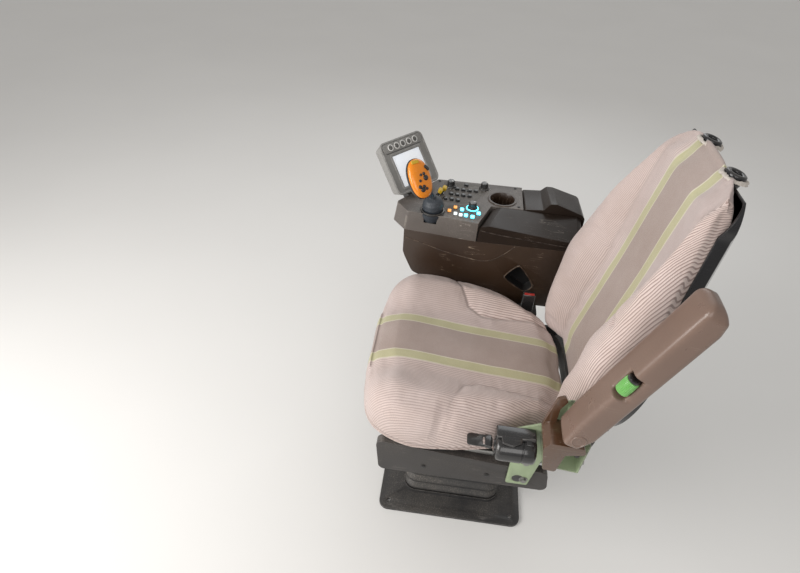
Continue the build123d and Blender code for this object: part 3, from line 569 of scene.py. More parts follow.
def lay_cloth(piece, across, along, **values):
    """Writes the cover's own coordinates: a UV map of its stripes, and values such as the
    strength of its lines and the painted shade in its seam grooves.
    """
    corner = np.empty(len(piece.data.loops), dtype=np.int32)
    piece.data.loops.foreach_get("vertex_index", corner)
    weave = piece.data.uv_layers.new(name="weave")
    weave.data.foreach_set("uv", np.stack([across, along], axis=1)[corner].ravel())
    for name, value in values.items():
        piece.data.attributes.new(name, "FLOAT", "POINT").data.foreach_set("value", value)


def on_screen(red, green, blue):
    """The scene-linear colour of a screen colour given from 0 to 255."""
    return tuple((part / 255 / 12.92) if part <= 10 else ((part / 255 + 0.055) / 1.055) ** 2.4
                 for part in (red, green, blue))


def woven_stripes(name, ground, line, plain, band, pale, edge):
    """Woven seat cloth: a plain band in the middle, a pale green stripe with cream edges each
    side of it, then fine lines whose strength, like the painted shade in the seam grooves, is
    a value of the piece."""
    finish, tree, shader = new_finish(name, Roughness=0.9, Sheen_Weight=0.25, Sheen_Roughness=0.5)

    def sum_of(how, *parts):
        return math_of(tree, how, *parts)

    laid_out = put(tree, "ShaderNodeUVMap", uv_map="weave")
    place = put(tree, "ShaderNodeSeparateXYZ", {0: laid_out.outputs["UV"]})
    spot = put(tree, "ShaderNodeTexCoord").outputs["Object"]
    waver = spread(tree, noise_of(tree, spot, 24.0, 1.0), end=(-0.0012, 0.0012))
    across = sum_of("ADD", sum_of("ABSOLUTE", place.outputs["X"]), waver)
    strength = put(tree, "ShaderNodeAttribute", attribute_name="lines").outputs["Fac"]
    seam = put(tree, "ShaderNodeAttribute", attribute_name="seam").outputs["Fac"]
    line_pitch = 0.0066
    wave = sum_of("SINE", sum_of("MULTIPLY", across, 2 * math.pi / line_pitch))
    wave = spread(tree, wave, (0.05, 0.65))
    thin = sum_of("SINE", sum_of("MULTIPLY", across, 4 * math.pi / line_pitch))
    wave = sum_of("MAXIMUM", wave, spread(tree, thin, (0.6, 1.0), (0.0, 0.35)))
    fade = spread(tree, noise_of(tree, spot, 6.0, 3.0), (0.3, 0.7), (0.84, 1.0))
    colour = blended(tree, strength, plain, ground)
    colour = blended(tree, sum_of("MULTIPLY", sum_of("MULTIPLY", wave, strength), fade), colour, line)
    widest = 0.1
    stops = [(0.0, band), (0.0560, band), (0.0564, edge), (0.0590, edge), (0.0594, pale), (0.0852, pale),
             (0.0856, edge), (0.0884, edge)]
    stripes = ramp(tree, sum_of("DIVIDE", across, widest), [(at / widest, tone) for at, tone in stops])
    colour = blended(tree, sum_of("LESS_THAN", across, 0.0888), colour, stripes)
    thread = 0.0017
    rib = sum_of("MULTIPLY", sum_of("SINE", sum_of("MULTIPLY", place.outputs["X"], 2 * math.pi / thread)),
                 sum_of("SINE", sum_of("MULTIPLY", place.outputs["Y"], 1.5 * math.pi / thread)))
    height = sum_of("ADD", sum_of("MULTIPLY", rib, 0.4), noise_of(tree, spot, 380.0, 3.0))
    shade = spread(tree, height, (-0.2, 1.2), (0.84, 1.12))
    grime = ramp(tree, noise_of(tree, spot, 4.0, 7.0, 0.66),
                 [(0.36, (0.86, 0.83, 0.80)), (0.62, (1.0, 1.0, 1.0))])
    colour = blended(tree, 1.0, colour, grime, "MULTIPLY")
    shade = put(tree, "ShaderNodeCombineXYZ", {0: shade, 1: shade, 2: shade}).outputs[0]
    colour = blended(tree, 1.0, colour, shade, "MULTIPLY")
    # Painted shade: the cloth is darkened towards near black in the seam grooves, where shade falls.
    colour = blended(tree, sum_of("MULTIPLY", seam, 0.36), colour, (0.12, 0.10, 0.09))
    tree.links.new(colour, shader.inputs["Base Color"])
    bump = put(tree, "ShaderNodeBump", {"Height": height, "Strength": 0.5, "Distance": 0.0007})
    tree.links.new(bump.outputs[0], shader.inputs["Normal"])
    return finish


seat_cloth = woven_stripes("seat_cloth", ground=on_screen(222, 205, 199), line=on_screen(156, 134, 128),
                           plain=on_screen(184, 170, 167), band=on_screen(168, 152, 145),
                           pale=on_screen(186, 182, 146), edge=on_screen(208, 202, 182))

cushion_edge = smooth_loop(both_sides([(0, -0.280), (0.140, -0.275), (0.240, -0.240), (0.281, -0.158),
                                       (0.282, -0.045), (0.258, 0.070), (0.213, 0.155), (0.176, 0.228),
                                       (0.114, 0.264), (0, 0.268)]))


def cushion_top(x, y):
    """Height of the sitting surface: a shallow crown between bolsters that rise to the sides."""
    rise = bolster_rise * eased(np.abs(x), 0.105, 0.215)
    front = np.clip((-0.190 - y) / 0.095, 0, 1)
    rear = eased(y, 0.17, 0.262)
    return (1.3 * rise * (1 - 0.45 * front) * (1 - 0.2 * rear) - 0.008 - 0.034 * front ** 2 - 0.004 * rear
            + 0.005 * np.cos(np.clip(x / 0.15, -1, 1) * math.pi / 2))


def scaled_ring(edge, share, centre):
    """The outline drawn in about a point on the middle line, at the given height of that point."""
    return (edge - (0, centre)) * share + (0, centre)


cushion_rings = []
middle_y = -0.03
for share in (0.25, 0.6, 0.86, 0.93):
    flat = scaled_ring(cushion_edge, share, middle_y)
    cushion_rings.append([(x, y, -cushion_thick + 0.001) for x, y in flat])
for share, depth in ((0.975, -0.100), (0.99, -0.080), (1.0, -0.055), (0.995, -0.030)):
    flat = scaled_ring(cushion_edge, share, middle_y)
    lift = 0.6 * np.maximum(0, cushion_top(flat[:, 0], flat[:, 1])) * (depth + 0.1) / 0.07
    cushion_rings.append([(x, y, depth + up) for (x, y), up in zip(flat, lift)])
for share, drop in ((0.97, 0.013), (0.925, 0.004), (0.86, 0), (0.75, 0), (0.6, 0), (0.45, 0), (0.3, 0),
                    (0.12, 0)):
    flat = scaled_ring(cushion_edge, share, middle_y)
    square_rear = 1 - 0.6 * eased(flat[:, 1], 0.19, 0.25)
    cushion_rings.append([(x, y, top - drop * less) for (x, y), top, less
                          in zip(flat, cushion_top(flat[:, 0], flat[:, 1]), square_rear)])

cushion = stuffed("seat_cushion_cover", skin(cushion_rings), 0.0066, 0.011,
                  lambda at: at[:, 2] < -cushion_thick + 0.012)
cushion_seam = [(0.310, -0.075), (0.221, -0.044), (0.155, -0.017), (0.133, 0.024), (0.135, 0.073),
                (0.147, 0.170), (0.152, 0.262)]
place, facing = points_of(cushion)
side_x, depth_y, height_z = place.T
seam_off = line_distance(np.stack([np.abs(side_x), depth_y], axis=1), cushion_seam)
on_top = np.clip((height_z + 0.075) / 0.02, 0, 1)
near_front = (side_x > 0) * eased(side_x, 0.17, 0.22)
groove = np.exp(-(seam_off / 0.0038) ** 2) * on_top * (1 - 0.8 * near_front) * (1 - 0.35 * (side_x > 0))
place -= facing * (0.0036 * groove + 0.004 * np.exp(-(seam_off / 0.020) ** 2) * on_top)[:, None]
skirt_seam = np.exp(-((height_z + 0.088) / 0.0045) ** 2) * (np.abs(facing[:, 2]) < 0.8)
place -= facing * (0.004 * skirt_seam)[:, None]
hollow = np.exp(-((np.abs(side_x) - 0.07) / 0.05) ** 2 - ((depth_y - 0.03) / 0.13) ** 2)
place -= facing * (0.004 * hollow * (facing[:, 2] > 0.5))[:, None]
rumple = unevenness(place, 11, 11, 11, 0)
creases = np.abs(unevenness(place, 7, 34, 7, 3))
near_seam = np.exp(-(seam_off / 0.035) ** 2) * on_top
place += facing * (0.0018 * rumple + 0.0028 * near_seam * (0.5 - creases))[:, None]
hanging = eased(-depth_y, -0.02, 0.14) * eased(-height_z, 0.035, 0.09)
height_z -= 0.013 * hanging
cushion.data.vertices.foreach_set("co", place.ravel())
over_bolster = np.maximum(np.abs(side_x) - flat_half, 0)
sideways = np.abs(facing[:, 0]) / (np.abs(facing[:, 0]) + np.abs(facing[:, 1]) + 0.3)
fallen = np.clip(cushion_top(side_x, depth_y) - 0.008 - height_z, 0, None) * sideways
across = np.sign(side_x) * (np.minimum(np.abs(side_x), flat_half) + 1.04 * over_bolster + fallen)
seam_x, seam_y = np.array(cushion_seam[:-1]).T
seam_x = np.interp(depth_y, seam_y, seam_x)
behind_seam = eased(np.abs(side_x) - seam_x, -0.002, 0.002)
near_side = (side_x > 0).astype(float)
# Painted shade: the cloth is darkened along the grooves of the top and skirt seams.
lay_cloth(cushion, across, depth_y - height_z, seam=np.maximum(groove, skirt_seam),
          lines=np.maximum(0.44 + 0.22 * near_side, 0.85 * behind_seam))
cushion.data.transform(seat_frame)
join_up(cushion, seat_cloth, "seat", "seat_fabric", "seat_cushion")

# Rear apron. Thin black moulded strip clipped to the pan, which closes the gap between the
# seat cushion and the foot of the backrest.
apron_plan = [(-0.202, 0.150), (-0.196, 0.205), (-0.168, 0.246), (-0.118, 0.273), (0, 0.279),
              (0.118, 0.273), (0.168, 0.246), (0.196, 0.205), (0.202, 0.150)]
apron_line = smooth_loop(apron_plan, 6)[:6 * (len(apron_plan) - 1) + 1]
apron_profile = [(0.4300, -0.085, 1.14), (0.4302, -0.045, 1.12), (0.4310, -0.014, 1.06),
                 (0.4345, -0.001, 1.0), (0.440, 0.003, 1.0), (0.455, 0.001, 1.0), (0.480, 0.0, 1.0),
                 (0.491, 0.002, 1.0)]
apron_mesh = bmesh.new()
apron_rows = [[apron_mesh.verts.new((x * wider, y - pulled, z - 0.10 * (y - 0.27))) for x, y in apron_line]
              for z, pulled, wider in apron_profile]
for low, high in zip(apron_rows, apron_rows[1:]):
    for step in range(len(low) - 1):
        apron_mesh.faces.new((low[step], low[step + 1], high[step + 1], high[step]))
apron = new_piece("rear_apron", apron_mesh)
thick = apron.modifiers.new("thick", "SOLIDIFY")
thick.thickness = 0.0025
thick.offset = 1
to_plain_mesh(apron, 50)
join_up(apron, shield_plastic, "seat", "shield_plastic")

# Backrest frame. Two pressed steel arms on the recline hinges, joined by cross tubes and
# hidden between the cushion and its shell.
dressed("back_frame", 0.0008, black_steel, "backrest", "frame_paint")

# Backrest cushion. Moulded foam in the same cloth, its wings reaching forward and down round
# the operator, its top narrower and bent back, sewn along a crease inside each wing.
back_frame = Matrix.Translation((0, 0.290, 0.515)) @ Matrix.Rotation(math.radians(-10.7), 4, "X")
foam_rear = 0.042
back_flat_half = 0.115
back_edge = smooth_loop(both_sides([(0, -0.022), (0.130, -0.025), (0.202, -0.010), (0.238, 0.052),
                                    (0.257, 0.160), (0.257, 0.260), (0.229, 0.430), (0.194, 0.580),
                                    (0.176, 0.648), (0.128, 0.680), (0.064, 0.688), (0, 0.690)]))


def crease_x(z):
    """Distance of the backrest's crease from its middle line, at height z."""
    return np.interp(z, (-0.02, 0.12, 0.25, 0.345, 0.41, 0.49, 0.69),
                     (0.132, 0.120, 0.114, 0.120, 0.136, 0.150, 0.152))


def back_front(x, z):
    """How far forward of the backrest's plane the cloth stands: flat in the middle, out to the wings."""
    wing = np.interp(z, (-0.02, 0.04, 0.13, 0.26, 0.40, 0.52, 0.60, 0.655, 0.69),
                     (0.070, 0.088, 0.089, 0.086, 0.074, 0.061, 0.051, 0.036, 0.006))
    middle = np.interp(z, (-0.02, 0.06, 0.20, 0.35, 0.58, 0.63, 0.655, 0.69),
                       (0.022, 0.022, 0.018, 0.014, 0.015, 0.015, 0.009, -0.006))
    return middle + (np.maximum(wing, middle) - middle) * eased(np.abs(x) - crease_x(z), -0.010, 0.056)


back_rings = []
middle_z = 0.34
for share in (0.2, 0.55, 0.85):
    back_rings.append([(x, foam_rear - 0.001, z) for x, z in scaled_ring(back_edge, share, middle_z)])
top_slope = 0.9
for inset, depth in ((0.0085, 0.040), (0.0075, 0.030), (0.0065, 0.020), (0.001, 0.012), (0.0, 0.0)):
    flat = back_edge * (1 - inset / 0.257, 1)
    flat[:, 1] -= min(0.016, top_slope * max(0, depth - 0.002)) * eased(flat[:, 1], 0.58, 0.66)
    ahead_by = np.maximum(0, back_front(flat[:, 0], flat[:, 1]))
    back_rings.append([(x, depth - 0.4 * ahead * (0.040 - depth) / 0.040, z)
                       for (x, z), ahead in zip(flat, ahead_by)])
for share, drop in ((0.99, 0.020), (0.965, 0.009), (0.925, 0.003), (0.86, 0), (0.74, 0), (0.6, 0), (0.44, 0),
                    (0.28, 0), (0.12, 0)):
    flat = scaled_ring(back_edge, share, middle_z)
    ahead_by = back_front(flat[:, 0], flat[:, 1])
    square_foot = 1 - 0.75 * eased(-flat[:, 1], -0.03, 0.0)
    back_rings.append([(x, drop * less - ahead, z) for (x, z), ahead, less
                       in zip(flat, ahead_by, square_foot)])
backrest = stuffed("back_cushion_cover", skin(back_rings), 0.0068, 0.011, lambda at: at[:, 1] > 0.018)


def rear_ahead(z):
    """How far the rear of the backrest comes forward at height z."""
    return 0.016 * eased(z, 0.30, 0.46) + 0.010 * eased(z, 0.58, 0.68)


seam_heights = (-0.02, 0.05, 0.12, 0.19, 0.25, 0.30, 0.345, 0.41, 0.49, 0.58, 0.66)
back_seam = [(float(crease_x(z)), z) for z in seam_heights]
place, facing = points_of(backrest)
side_x, depth_y, height_z = place.T
near_share = 0.35 + 0.65 * (side_x > 0)
seam_off = line_distance(np.stack([np.abs(side_x), height_z], axis=1), back_seam)
in_front = np.clip((0.012 - depth_y) / 0.01, 0, 1) * (1 - eased(height_z, 0.60, 0.66))
groove = np.exp(-(seam_off / 0.0045) ** 2) * in_front * near_share
valley = near_share * np.exp(-(seam_off / 0.012) ** 2) * in_front
place -= facing * (0.004 * groove + 0.005 * valley)[:, None]
tuck_line = [(0.118, 0.335), (0.165, 0.352), (0.200, 0.340)]
tuck_off = line_distance(np.stack([np.abs(side_x), height_z], axis=1), tuck_line)
below_tuck = np.exp(-((height_z - 0.25) / 0.07) ** 2) * eased(np.abs(side_x), 0.13, 0.19) * in_front
tuck = near_share * np.exp(-(tuck_off / 0.007) ** 2) * in_front
place += facing * (0.006 * below_tuck - 0.009 * tuck)[:, None]
rumple = unevenness(place, 10, 10, 10, 5)
creases = np.abs(unevenness(place, 8, 8, 30, 9))
near_seam = np.exp(-(seam_off / 0.030) ** 2) * in_front
place += facing * (near_share * (0.0016 * rumple + 0.0018 * near_seam * (0.5 - creases)))[:, None]
rear_shift = rear_ahead(height_z) - 0.016 * eased(height_z, 0.650, 0.685)
depth_y -= rear_shift * eased(depth_y, -0.01, 0.03)
shell_side = np.interp(height_z, (-0.02, 0.052, 0.160, 0.260, 0.430, 0.580, 0.648, 0.680),
                       (0.187, 0.227, 0.247, 0.247, 0.219, 0.184, 0.167, 0.120))
in_shell = eased(depth_y + rear_shift, -0.006, 0.018) * eased(height_z, 0.0, 0.05)
side_x -= np.sign(side_x) * np.maximum(0, np.abs(side_x) - shell_side) * in_shell
backrest.data.vertices.foreach_set("co", place.ravel())
wing_out = np.maximum(np.abs(side_x) - back_flat_half, 0)
sideways = np.abs(facing[:, 0]) / (np.abs(facing[:, 0]) + np.abs(facing[:, 2]) + 0.3)
turned_back = np.clip(depth_y + back_front(side_x, height_z) - 0.006, 0, None) * sideways
fanned = 2.4 * np.clip(height_z - 0.49, 0, None) ** 2 * eased(wing_out, 0.02, 0.05) * (side_x > 0)
stretch = np.where(side_x > 0, 1.36, 2.1)
laid = np.minimum(np.abs(side_x), back_flat_half) + stretch * wing_out + turned_back - fanned
across = np.sign(side_x) * laid
outer_side = eased(np.abs(side_x) - crease_x(height_z), -0.003, 0.003)
far_side = (side_x < 0).astype(float)
# Painted shade: the cloth is darkened along the groove of each wing's seam.
lay_cloth(backrest, across, height_z - depth_y, seam=groove,
          lines=np.maximum(0.12 + 0.43 * far_side, (1 - 0.35 * far_side) * outer_side))
backrest.data.transform(back_frame)
join_up(backrest, seat_cloth, "backrest", "seat_fabric", "back_cushion")

# Backrest shell. One glossy black moulding that wraps the sides of the foam and closes the
# back, stiffened by a shallow raised field and held by four countersunk screws.
gloss_black = moulding("gloss_black", (0.010, 0.010, 0.012), (0.015, 0.015, 0.016), rough=0.16, grain=0.03,
                       dust=0.05, scratches=0.25, scratch_tone=(0.2, 0.19, 0.18), coat=0.5, wear=0.1)


def drawn_in(piece):
    """Curves a piece of the shell forward with the rear of the backrest's foam."""
    cut = bmesh.new()
    cut.from_mesh(piece.data)
    cut.transform(back_frame.inverted())
    for height in np.arange(0.30, 0.67, 0.02):
        bmesh.ops.bisect_plane(cut, geom=cut.verts[:] + cut.edges[:] + cut.faces[:], dist=0.00001,
                               plane_co=(0, 0, float(height)), plane_no=(0, 0, 1))
    for vertex in cut.verts:
        vertex.co.y -= float(rear_ahead(vertex.co.z))
    cut.transform(back_frame)
    cut.to_mesh(piece.data)
    cut.free()
    return to_plain_mesh(piece, 38)


gloss_black.node_tree.nodes["Principled BSDF"].inputs["Specular IOR Level"].default_value = 0.22
shell = drawn_in(rounded_copy("back_shell", 0.004, 4))
join_up(shell, gloss_black, "backrest", "shell_plastic", "back_shell")


def gathered(*parts):
    """One bmesh made of (bmesh, matrix) pairs; the parts are used up."""
    whole = bmesh.new()
    for part, place in parts:
        part.transform(place)
        moved = bpy.data.meshes.new("part")
        part.to_mesh(moved)
        part.free()
        whole.from_mesh(moved)
        bpy.data.meshes.remove(moved)
    return whole


def smooth_piece(name, mesh, sharp_angle=40):
    """An object of a bmesh, smooth between edges sharper than the angle."""
    return to_plain_mesh(new_piece(name, mesh), sharp_angle)


shell_back = 0.0765
screw_places = [back_frame @ at(x, shell_back, z, -90) for x in (-0.150, 0.150) for z in (0.110, 0.470)]
join_up(drawn_in(repeated("shell_screws", pan_screw, black_screws, screw_places, Head=0.0065, Height=0.0022)),
        black_screws, "backrest", "shell_plastic")


def bead(points, radius, closed=False, order=3, sides=8):
    """A round moulded bead, rod or cable along a smooth line through or near the points."""
    curve = bpy.data.curves.new("bead", "CURVE")
    curve.dimensions = "3D"
    line = curve.splines.new("NURBS")
    line.points.add(len(points) - 1)
    for spot, place in zip(line.points, points):
        spot.co = (*place, 1)
    line.use_cyclic_u = closed
    line.use_endpoint_u = not closed
    line.order_u = order
    line.resolution_u = 6
    curve.bevel_depth = radius
    curve.bevel_resolution = sides // 4
    curve.use_fill_caps = True
    piece = bpy.data.objects.new("bead", curve)
    bpy.context.scene.collection.objects.link(piece)
    mesh = bpy.data.meshes.new_from_object(piece.evaluated_get(bpy.context.evaluated_depsgraph_get()))
    bpy.data.objects.remove(piece)
    result = bmesh.new()
    result.from_mesh(mesh)
    return result


field_x, field_low, field_high = 0.145, 0.135, 0.520
field_line = [(-field_x, field_low), (0, field_low - 0.012), (field_x, field_low), (field_x + 0.012, 0.33),
              (field_x - 0.035, field_high), (0, field_high + 0.010), (-field_x + 0.035, field_high),
              (-field_x - 0.012, 0.33)]
field_ribs = gathered(*[(bead([back_frame @ Vector((x * share, shell_back - 0.0012, 0.33 + (z - 0.33) * share))
                               for x, z in field_line], 0.0022, True), Matrix()) for share in (1.0, 0.94)])
join_up(drawn_in(smooth_piece("shell_ribs", field_ribs)), gloss_black, "backrest", "shell_plastic")

# Headrest guides. Two black oval bushes let into the top of the backrest; round them the worn
# cloth has split and the pale foam shows.


def made(name, mesh, finish, body, slot, *nodes, sharp=40, place=Matrix()):
    """A finished piece of a bmesh, moved to its place first."""
    mesh.transform(place)
    return join_up(smooth_piece(name, mesh, sharp), finish, body, slot, *nodes)


crown_points = [back_frame.inverted() @ vertex.co for vertex in backrest.data.vertices]
crown = BVHTree.FromPolygons(crown_points, [tuple(face.vertices) for face in backrest.data.polygons])


def on_crown(x, y, lift=0.0):
    """A place behind the highest line of the backrest's crown, nearly flat, at that line's height."""
    casts = [crown.ray_cast(Vector((x, 0.003 * step, 0.80)), Vector((0, 0, -1)))[0] for step in range(-4, 10)]
    return back_frame @ at(x, y, max(spot.z for spot in casts) + lift, -4)


guide_depth = 0.019
oval = [(0.004 * side + 0.0175 * math.cos(angle), 0.0200 * math.sin(angle))
        for side, first in ((1, -90), (-1, 90)) for angle in
        [math.radians(first + 180 * step / 16) for step in range(17)]]


def oval_ring(width, height):
    """The guide's oval outline grown or shrunk by width, at one height."""
    ring = []
    for x, y in oval:
        centre = math.copysign(0.004, x)
        reach = math.hypot(x - centre, y)
        ring.append((centre + (x - centre) * (reach + width) / reach, y * (reach + width) / reach, height))
    return ring


guide_profile = [(-0.008, -0.024), (-0.004, -0.024), (0.0, -0.004), (0.0004, 0.002), (-0.0006, 0.0044),
                 (-0.0026, 0.0056), (-0.0060, 0.0056), (-0.0088, 0.0046), (-0.0100, 0.0026), (-0.0102, -0.0060)]
guides = gathered(*[(form, on_crown(x, guide_depth)) for x in (-0.070, 0.088)
                    for form in (skin([oval_ring(*step) for step in guide_profile], closed=True),
                                 skin([oval_ring(-0.0098, height) for height in (-0.007, 0.0012)]))])
made("headrest_guides_made", guides, gloss_black, "backrest", "guide_plastic", "headrest_guides", sharp=60)
foam_pale = moulding("foam_pale", on_screen(214, 207, 198), on_screen(176, 168, 160), rough=0.95, grain=1.0,
                     grain_scale=520, dust=0.0, wear=0.0)


def torn(mesh, lumps, depth):
    """A bmesh roughened like torn foam."""
    bmesh.ops.subdivide_edges(mesh, edges=mesh.edges, cuts=1, use_grid_fill=True)
    for vertex in mesh.verts:
        vertex.co += depth * noise.noise_vector(vertex.co * lumps) + 0.4 * depth * noise.noise_vector(
            vertex.co * 3.1 * lumps)
    bmesh.ops.recalc_face_normals(mesh, faces=mesh.faces)
    return mesh


noise.seed_set(9)  # noise_vector starts from the clock without it
foam_profile = [(0.0004, -0.004), (0.0015, 0.0012), (0.0042, 0.0022), (0.0072, 0.0002), (0.0085, -0.004)]
foam_bits = [(torn(skin([oval_ring(*step) for step in foam_profile], closed=True), lumps, 0.0028),
              on_crown(x, guide_depth, -0.004)) for x, lumps in ((-0.070, 161), (0.088, 179))]
made("torn_foam", gathered(*foam_bits), foam_pale, "backrest", "seat_fabric", sharp=70)

# Armrest bracket. Folded plate painted pale green, bolted outside the seat frame, that carries
# the armrest's pivot pin and the belt retractor.
green_paint = moulding("green_paint", on_screen(150, 166, 132), on_screen(136, 151, 120), rough=0.4, grain=0.1,
                       dust=0.45, scratches=0.8, scratch_tone=(0.12, 0.10, 0.08), wear=0.9,
                       wear_tone=(0.10, 0.09, 0.08))
bracket = rounded_copy("armrest_bracket", 0.0012)
for vertex in bracket.data.vertices:
    if vertex.co.y < 0.175 and vertex.co.z > 0.56:
        vertex.co.z -= 0.024
join_up(bracket, green_paint, "seat", "green_paint", "armrest_bracket")
bracket_face = 0.2700
bolt_places = [at(bracket_face, y, z, 0, 90) for y, z in ((0.120, 0.470), (0.165, 0.366), (0.160, 0.440))]
bolt_places += [at(0.300, 0.2735, z, -90) for z in (0.512, 0.580)]
fixed("bracket_bolts", hex_bolt, bolt_steel, bolt_places, "seat", "frame_paint", Head=0.0075, Height=0.0055)


def turned(profile, around=32):
    """A bmesh turned about Z from (radius, height) points, closed with flat ends."""
    circle = [(math.cos(2 * math.pi * s / around), math.sin(2 * math.pi * s / around)) for s in range(around)]
    return skin([[(radius * x, radius * y, height) for x, y in circle] for radius, height in profile])


pull_knob = turned([(0.003, 0), (0.0032, 0.004), (0.0085, 0.005), (0.0098, 0.008), (0.0094, 0.0135),
                    (0.0070, 0.0165), (0.0030, 0.0175)], 28)
made("bracket_knob", pull_knob, gloss_black, "seat", "belt_plastic", place=at(0.306, 0.2665, 0.548, 90))

# Armrest hinge cover. Glossy brown moulded hood pushed over the edges of the bracket, with an
# ear that stands beside the hinge and covers its pin.
cover_brown = moulding("cover_brown", on_screen(86, 60, 42), on_screen(72, 50, 36), rough=0.14, grain=0.1,
                       dust=0.1, scratches=0.6, scratch_tone=(0.4, 0.32, 0.25), coat=0.8, wear=0.4,
                       wear_tone=(0.35, 0.26, 0.2))
dressed("armrest_cover", 0.0058, cover_brown, "seat", "hinge_cover_plastic", 5)

# Armrest. A long moulding over foam, brown and slightly shiny, with soft corners and a rounded
# end; near its middle a hollow in the outer edge bares the thumb wheel that sets its height.
arm_frame = Matrix.Translation((0, 0.222, 0.662)) @ Matrix.Rotation(math.radians(-22.4), 4, "X")
arm_brown = moulding("arm_brown", on_screen(119, 97, 85), on_screen(111, 89, 78), rough=0.3, grain=0.25,
                     grain_scale=1300, dust=0.12, dust_tone=(0.5, 0.43, 0.37), scratches=0.4,
                     scratch_tone=(0.45, 0.37, 0.30), coat=0.25, wear=0.15, wear_tone=(0.38, 0.29, 0.24))
arm_low, arm_high = -0.0258, 0.4236
arm_x0, arm_x1 = 0.2852, 0.3638
wheel_x, wheel_y, wheel_at = 0.351, -0.013, 0.186
hollow_r, hollow_half, hollow_soft = 0.0193, 0.0255, 0.009
open_half, open_reach = math.radians(118), 0.034
end_round, foot_round = 0.026, 0.012
arm_levels = sorted({*np.linspace(arm_low, arm_high, 90), *np.linspace(0.145, 0.227, 56),
                     *(arm_high - end_round * (1 - math.cos(math.radians(a))) for a in range(0, 91, 6)),
                     *(arm_low + foot_round * (1 - math.cos(math.radians(a))) for a in range(0, 91, 10))})
arm_rings = []
for z in arm_levels:
    front = np.interp(z, (-0.026, 0.04, 0.4236), (-0.019, -0.0248, -0.0245))
    rear = np.interp(z, (-0.026, -0.018, 0.020, 0.375, 0.402, 0.4236),
                     (0.018, 0.023, 0.0378, 0.0378, 0.030, 0.014))
    into_end = max(0.0, (z - (arm_high - end_round)) / end_round)
    into_foot = max(0.0, ((arm_low + foot_round) - z) / foot_round)
    top_in = end_round * (1 - math.sqrt(max(0.0, 1 - into_end ** 2)))
    low_in = foot_round * (1 - math.sqrt(max(0.0, 1 - into_foot ** 2)))
    inset = min(top_in + low_in, 0.0255)
    half_x, half_y = (arm_x1 - arm_x0) / 2 - inset, (rear - front) / 2 - 0.62 * inset
    centre_y = (front + rear) / 2
    ring = []
    for step in range(144):
        angle = 2 * math.pi * step / 144
        c, s = math.cos(angle), math.sin(angle)
        bulge = (abs(c) ** 5.5 + abs(s) ** 5.5) ** (-1 / 5.5)
        x, y = (arm_x0 + arm_x1) / 2 + half_x * c * bulge, centre_y + half_y * s * bulge
        window = 1 - eased(abs(z - wheel_at), hollow_half, hollow_half + hollow_soft)
        off_x, off_y = x - wheel_x, y - wheel_y
        turn_out = (math.atan2(off_y, off_x) + math.pi / 4 + math.pi) % (2 * math.pi) - math.pi
        reach = math.hypot(off_x, off_y)
        if window > 0 and abs(turn_out) < open_half and reach < open_reach:
            inner = math.pi - abs(turn_out) * (math.pi - open_half) / open_half
            inner = math.copysign(inner, turn_out) - math.pi / 4
            rim = float(eased(abs(turn_out), math.radians(60), open_half))
            deep = hollow_r * (1 - rim) + reach * rim
            hollow_x, hollow_y = wheel_x + deep * math.cos(inner), wheel_y + deep * math.sin(inner)
            blend = window * (1 - rim)
            x, y = x + (hollow_x - x) * blend, y + (hollow_y - y) * blend
        ring.append((x, y, z))
    arm_rings.append(ring)
armrest = smooth_piece("armrest_skin", skin(arm_rings), 60)
armrest.data.transform(arm_frame)
join_up(armrest, arm_brown, "armrest", "armrest_plastic", "armrest_body")
hinge_cap = turned([(0.017, 0), (0.0172, 0.0008), (0.0165, 0.0018), (0.0145, 0.0022), (0.0140, 0.0014),
                    (0.0060, 0.0014), (0.0054, 0.0020), (0.0030, 0.0022)], 40)
cap_place = arm_frame @ at(0.3632, 0.004, 0.004, 0, 90)
made("armrest_hinge_cap", hinge_cap, arm_brown, "armrest", "armrest_plastic", place=cap_place)

# Armrest height wheel. Green ribbed thumb wheel of moulded plastic on a pin, with a black oval
# end; it turns in the armrest's hollow and sets the height at which the armrest stops.
wheel_green = moulding("wheel_green", on_screen(104, 172, 84), on_screen(92, 158, 74), rough=0.3, grain=0.06,
                       dust=0.15, coat=0.2, wear=0.2, wear_tone=(0.35, 0.6, 0.3))
rib_count = 26
wheel_profile = [(-0.018, -0.0020), (-0.0168, -0.0004), (-0.015, 0), (0, 0.0006), (0.015, 0),
                 (0.0168, -0.0004), (0.018, -0.0020)]
wheel_rings = []
for height, grow in wheel_profile:
    ring = []
    for step in range(rib_count * 6):
        angle = 2 * math.pi * step / (rib_count * 6)
        radius = 0.0140 + grow + 0.0008 * eased(math.cos(angle * rib_count), -0.35, 0.35)
        ring.append((radius * math.cos(angle), radius * math.sin(angle), height))
    wheel_rings.append(ring)
wheel_place = arm_frame @ at(wheel_x, wheel_y, wheel_at)
made("thumb_wheel", skin(wheel_rings), wheel_green, "armrest", "wheel_green", "armrest_wheel", sharp=45,
     place=wheel_place)
wheel_end = gathered(
    (turned([(0.0125, 0), (0.0133, 0.0012), (0.0130, 0.0044), (0.0112, 0.0058), (0.0040, 0.0060)], 36),
     arm_frame @ at(wheel_x, wheel_y, wheel_at + 0.0181)),
    (turned([(0.0038, -0.022), (0.0038, 0.022)], 16), wheel_place))
made("thumb_wheel_end", wheel_end, gloss_black, "armrest", "wheel_black", "armrest_wheel_cap")

# Belt retractor. Black round housing lying fore and aft with its lock block behind it, a lever
# plate on top, and the plated tongue parked in front.


def prism(outline, low, high):
    """A bmesh of a flat (x, y) outline drawn from one height to another."""
    return skin([[(x, y, height) for x, y in outline] for height in (low, high)])


